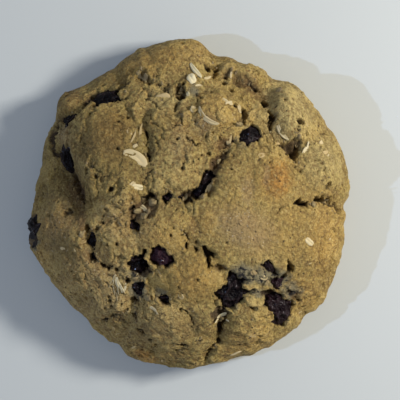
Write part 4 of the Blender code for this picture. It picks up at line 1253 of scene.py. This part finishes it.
def plan_bed(tree, x, y, reach):
    """The bed at a place of the plan."""
    place, normal = dome_over(np.array([x]), np.array([y]))
    return Bed(tree, place[0], normal[0], reach)


def ball_template(segments, rings):
    """A new ball to shape small pieces from, and its corners."""
    deselect()
    bpy.ops.mesh.primitive_uv_sphere_add(segments=segments, ring_count=rings, radius=1.0)
    template = bpy.context.object
    return template, positions(template.data)


def repeated(name, template, copies, masks):
    """One mesh of many copies of a template, each with its own corner positions and masks.

    The faces are sorted, because a new ball lists its faces in another order each time."""
    count = len(template.data.vertices)
    faces = sorted(tuple(face.vertices) for face in template.data.polygons)
    bpy.data.objects.remove(template)
    all_faces = [tuple(corner + count * index for corner in face)
                 for index in range(len(copies)) for face in faces]
    mesh = bpy.data.meshes.new(name)
    mesh.from_pydata((np.concatenate(copies) * MM).tolist(), [], all_faces)
    for mask, values in masks.items():
        put_mask(mesh, mask, np.concatenate(values))
    piece = bpy.data.objects.new(name, mesh)
    bpy.context.collection.objects.link(piece)
    return piece


def joined(first, second):
    """Two meshes of one kind, as one."""
    deselect()
    first.select_set(True)
    second.select_set(True)
    bpy.context.view_layer.objects.active = first
    bpy.ops.object.join()
    bpy.ops.object.shade_smooth()
    return first


def oat_finish(settings):
    """Dry rolled oats: cream to tan, with fine bran lines along the flake."""
    finish = Finish("rolled_oat")
    lines = {0: finish.attribute("along") * 1.5, 1: finish.attribute("across") * 9.0}
    along = finish.node("ShaderNodeCombineXYZ", None, lines)
    grating = {"Vector": along, "Scale": 1.0, "Detail": 3.0}
    streaks = finish.node("ShaderNodeTexNoise", None, grating)
    mottle = finish.cloud(0.0011)
    colour = finish.layered(
        settings.toasted,
        (finish.attribute("white"), settings.flake),
        (finish.ramp(streaks, (0.45, 0), (0.7, 1)) * 0.3, settings.bran),
        (finish.ramp(mottle, (0.5, 0), (0.8, 1)) * 0.25, settings.bran),
    )
    finish.set(
        Base_Color=colour,
        Roughness=0.5 + 0.3 * mottle,
        Normal=finish.bump(streaks, 0.0002, 0.6),
        Specular_IOR_Level=0.4,
    )
    return finish.material


class COOKIE_OT_oats(Operator):
    """Lays rolled oat flakes and their shreds into the crust"""

    bl_idname = "cookie.oats"
    bl_label = "Oat flakes"

    def execute(self, context):
        settings = context.scene.cookie_oats
        tree = crust_tree()
        thickness = settings.thickness / MM
        rng = np.random.default_rng(OAT_SEED)
        large = [(flake, plan_bed(tree, flake.x, flake.y, 0.8 * flake.length))
                 for flake in FLAKES]
        small = list(self.small_flakes(tree, settings.small_flakes, rng))
        oats = joined(
            self.lay("oat_flakes", 28, 12, large, thickness),
            self.lay("small_flakes", 12, 5, small, thickness),
        )
        finished(oats, oat_finish(settings), "oat_flake")
        return {"FINISHED"}

    def lay(self, name, segments, rings, flakes, thickness):
        """One mesh of flakes, each rolled from the same ball."""
        template, ball = ball_template(segments, rings)
        copies, masks = [], {"along": [], "across": [], "white": []}
        for index, (flake, bed) in enumerate(flakes):
            corners, along, across = self.roll(ball, flake, bed, index, thickness)
            copies.append(corners)
            masks["along"].append(along + index)
            masks["across"].append(across + index)
            masks["white"].append(np.full(len(ball), flake.white))
        return repeated(name, template, copies, masks)

    def roll(self, ball, flake, bed, index, thickness):
        """Flattens a ball into one flake: a ragged thin rim, a crease along it, and a bend."""
        angle = np.arctan2(ball[:, 1], ball[:, 0])
        turn = np.column_stack([np.cos(angle), np.sin(angle), 0 * angle])
        squareness = 2.0 if flake.bend else 3.2
        square = (np.abs(turn) ** squareness).sum(axis=1) ** (-1.0 / squareness)
        ragged = square * (0.95 + 0.13 * soft_noise(turn, 0.6, RIM_NOISE + index, 3))
        along, across = ball[:, 0] * ragged, ball[:, 1] * ragged
        body = np.sign(ball[:, 2]) * np.abs(ball[:, 2]) ** 0.7
        body *= 0.5 * min(thickness, 0.8 * flake.width)
        crease = 0.35 * thickness * np.exp(-(across / 0.16) ** 2) * (np.abs(along) < 0.8)
        flat = np.column_stack([along, across, 0 * along])
        wave = 0.12 * soft_noise(flat, 0.7, WAVE_NOISE + index)
        rise = flake.lift + flake.tilt * across + flake.pitch * along + wave - crease
        u, v = along * flake.length, across * flake.width
        if flake.bend:
            arc = u / flake.bend
            u, v = (flake.bend - v) * np.sin(arc), flake.bend - (flake.bend - v) * np.cos(arc)
        x, y = turned(u, v, flake.yaw)
        return bed.lay(x, y, body + rise), along, across

    def small_flakes(self, tree, count, rng):
        """Broken flakes and shreds, sunk almost flush into the rough parts of the crust."""
        for place, normal in zip(*scattered(count, rng, roughness_at)):
            length = rng.uniform(0.5, 1.4)
            width = length * rng.uniform(0.25, 0.7)
            tilt, pitch = rng.uniform(-0.2, 0.2, 2)
            white = 0.3 * rng.random() ** 2
            yaw = rng.uniform(0.0, 360.0)
            bed = Bed(tree, place, normal, 0.8 * length)
            yield Flake(0, 0, length, width, yaw, 0, tilt, pitch, -0.16, white), bed


def crumb_finish(settings):
    """Loose baked dough, duller than the crust."""
    finish = Finish("loose_dough")
    browned = finish.ramp(finish.cloud(0.0008, 4.0), (0.3, 0.1), (0.56, 1))
    colour = finish.layered(settings.shaded, (browned, settings.brown), (0.5, settings.smear))
    finish.set(
        Base_Color=colour,
        Roughness=0.8,
        Normal=finish.bump(finish.cloud(0.0004), 0.0003, 0.8),
    )
    return finish.material


class COOKIE_OT_crumbs(Operator):
    """Drops lumps of dough and crumbs into the cracks"""

    bl_idname = "cookie.crumbs"
    bl_label = "Crumbs"

    def execute(self, context):
        tree = crust_tree()
        rng = np.random.default_rng(CRUMB_SEED)
        crumbs = []
        for x, y in self.spots(context.scene.cookie_oats.crumbs, rng):
            size = 0.14 + 0.26 * rng.random() ** 2
            width = size * rng.uniform(0.6, 1.0)
            crumbs.append(Lump(x, y, size, width, rng.uniform(0.0, 180.0)))
        piece = joined(
            self.heap("crumbs", 24, 14, LOOSE_LUMPS, tree),
            self.heap("small_crumbs", 8, 5, crumbs, tree),
        )
        finished(piece, crumb_finish(context.scene.cookie_crust), "baked_dough")
        return {"FINISHED"}

    def heap(self, name, segments, rings, lumps, tree):
        """One mesh of lumps, each torn from the same ball."""
        template, ball = ball_template(segments, rings)
        copies = [self.torn(ball, lump, index, tree) for index, lump in enumerate(lumps)]
        return repeated(name, template, copies, {})

    def torn(self, ball, lump, index, tree):
        """A rounded but ragged lump that sits half in the crust."""
        size = min(lump.length, lump.width)
        swell = 1.0 + 0.6 * soft_noise(ball, 0.7, index, 4)
        u, v = ball[:, 0] * swell * lump.length, ball[:, 1] * swell * lump.width
        x, y = turned(u, v, lump.yaw)
        bed = plan_bed(tree, lump.x, lump.y, 0.5 * size)
        return bed.lay(x, y, size * (0.3 + 0.8 * ball[:, 2] * swell))

    def spots(self, count, rng):
        """Places along the edges of splits and openings, where crumbs catch."""
        edges = [split.route for split in SPLITS]
        edges += [opening.corners for opening in OPENINGS]
        edges += list(WINDOWS.values())
        while count > 0:
            route = np.array(edges[rng.integers(len(edges))], float)
            index = rng.integers(len(route) - 1)
            share = rng.random()
            x, y = route[index] * (1.0 - share) + route[index + 1] * share
            x, y = (x, y) + rng.normal(0.0, 0.55, 2)
            if math.hypot(x, y) < 0.93 * RADIUS:
                count -= 1
                yield x, y


# ---- Stage ------------------------------------------------------------------------------------
def floor_finish(settings):
    """A pale sheet with faint clouds of tone."""
    finish = Finish("pale_floor")
    duller = [FLOOR_TONE * level for level in settings.floor]
    colour = finish.mix(finish.cloud(0.02) * 0.2, settings.floor, duller)
    finish.set(Base_Color=colour, Roughness=0.6)
    return finish.material


def add_light(light):
    """An area light that faces the cookie."""
    bpy.ops.object.light_add(type="AREA", location=light.place)
    lamp = bpy.context.object
    lamp.name = light.name
    lamp.data.shape = "RECTANGLE"
    lamp.data.size = light.width
    lamp.data.size_y = light.height
    lamp.data.energy = light.watts
    lamp.data.color = light.colour
    lamp.rotation_euler = (-Vector(light.place)).to_track_quat("-Z", "Y").to_euler()


class COOKIE_OT_stage(Operator):
    """Sets the pale floor, the soft lights and the camera above"""

    bl_idname = "cookie.stage"
    bl_label = "Stage"

    def execute(self, context):
        settings = context.scene.cookie_stage
        deselect()
        bpy.ops.mesh.primitive_plane_add(size=FLOOR_SIZE)
        floor = context.object
        floor.name = "floor"
        floor.data.materials.append(floor_finish(settings))
        floor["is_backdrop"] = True
        for light in LIGHTS:
            add_light(light)
        world = bpy.data.worlds.new("room")
        world.use_nodes = True
        room = world.node_tree.nodes["Background"]
        room.inputs["Color"].default_value = (*ROOM_COLOUR, 1.0)
        room.inputs["Strength"].default_value = ROOM_STRENGTH
        context.scene.world = world
        context.scene.view_settings.view_transform = "Standard"
        bpy.ops.object.camera_add(location=(*CAMERA_OVER, settings.camera_height))
        camera = context.object
        camera.name = "camera"
        reach = settings.camera_height - WAIST * MM
        camera.data.sensor_width = SENSOR_WIDTH
        camera.data.lens = SENSOR_WIDTH * reach / settings.view_width
        camera.data.clip_start = 0.01
        camera.data.clip_end = 10.0
        context.scene.camera = camera
        return {"FINISHED"}


class COOKIE_PT_panel(Panel):
    """Lists the cookie's settings and the steps that make it"""

    bl_label = "Oatmeal Raisin Cookie"
    bl_idname = "COOKIE_PT_panel"
    bl_space_type = "VIEW_3D"
    bl_region_type = "UI"
    bl_category = "Cookie"

    def draw(self, context):
        for step, group in STEPS:
            self.layout.operator(step.bl_idname)
            settings = getattr(context.scene, group)
            for name in settings.__annotations__:
                self.layout.prop(settings, name)


GROUPS = {
    "cookie_crust": CrustSettings,
    "cookie_raisins": RaisinSettings,
    "cookie_oats": OatSettings,
    "cookie_stage": StageSettings,
}
STEPS = (
    (COOKIE_OT_stage, "cookie_stage"),
    (COOKIE_OT_crust, "cookie_crust"),
    (COOKIE_OT_raisins, "cookie_raisins"),
    (COOKIE_OT_oats, "cookie_oats"),
    (COOKIE_OT_crumbs, "cookie_oats"),
)


def register():
    for name, group in GROUPS.items():
        bpy.utils.register_class(group)
        setattr(bpy.types.Scene, name, PointerProperty(type=group))
    for step, _ in STEPS:
        bpy.utils.register_class(step)
    bpy.utils.register_class(COOKIE_PT_panel)


def unregister():
    bpy.utils.unregister_class(COOKIE_PT_panel)
    for step, _ in reversed(STEPS):
        bpy.utils.unregister_class(step)
    for name, group in reversed(GROUPS.items()):
        delattr(bpy.types.Scene, name)
        bpy.utils.unregister_class(group)


def main():
    register()
    bpy.ops.cookie.stage()
    bpy.ops.cookie.crust()
    bpy.ops.cookie.raisins()
    bpy.ops.cookie.oats()
    bpy.ops.cookie.crumbs()
    sizes = {"cad": CAD_BOX, "visual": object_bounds()}
    plain = {name: [list(corner) for corner in box] for name, box in sizes.items()}


if __name__ == "__main__":
    main()
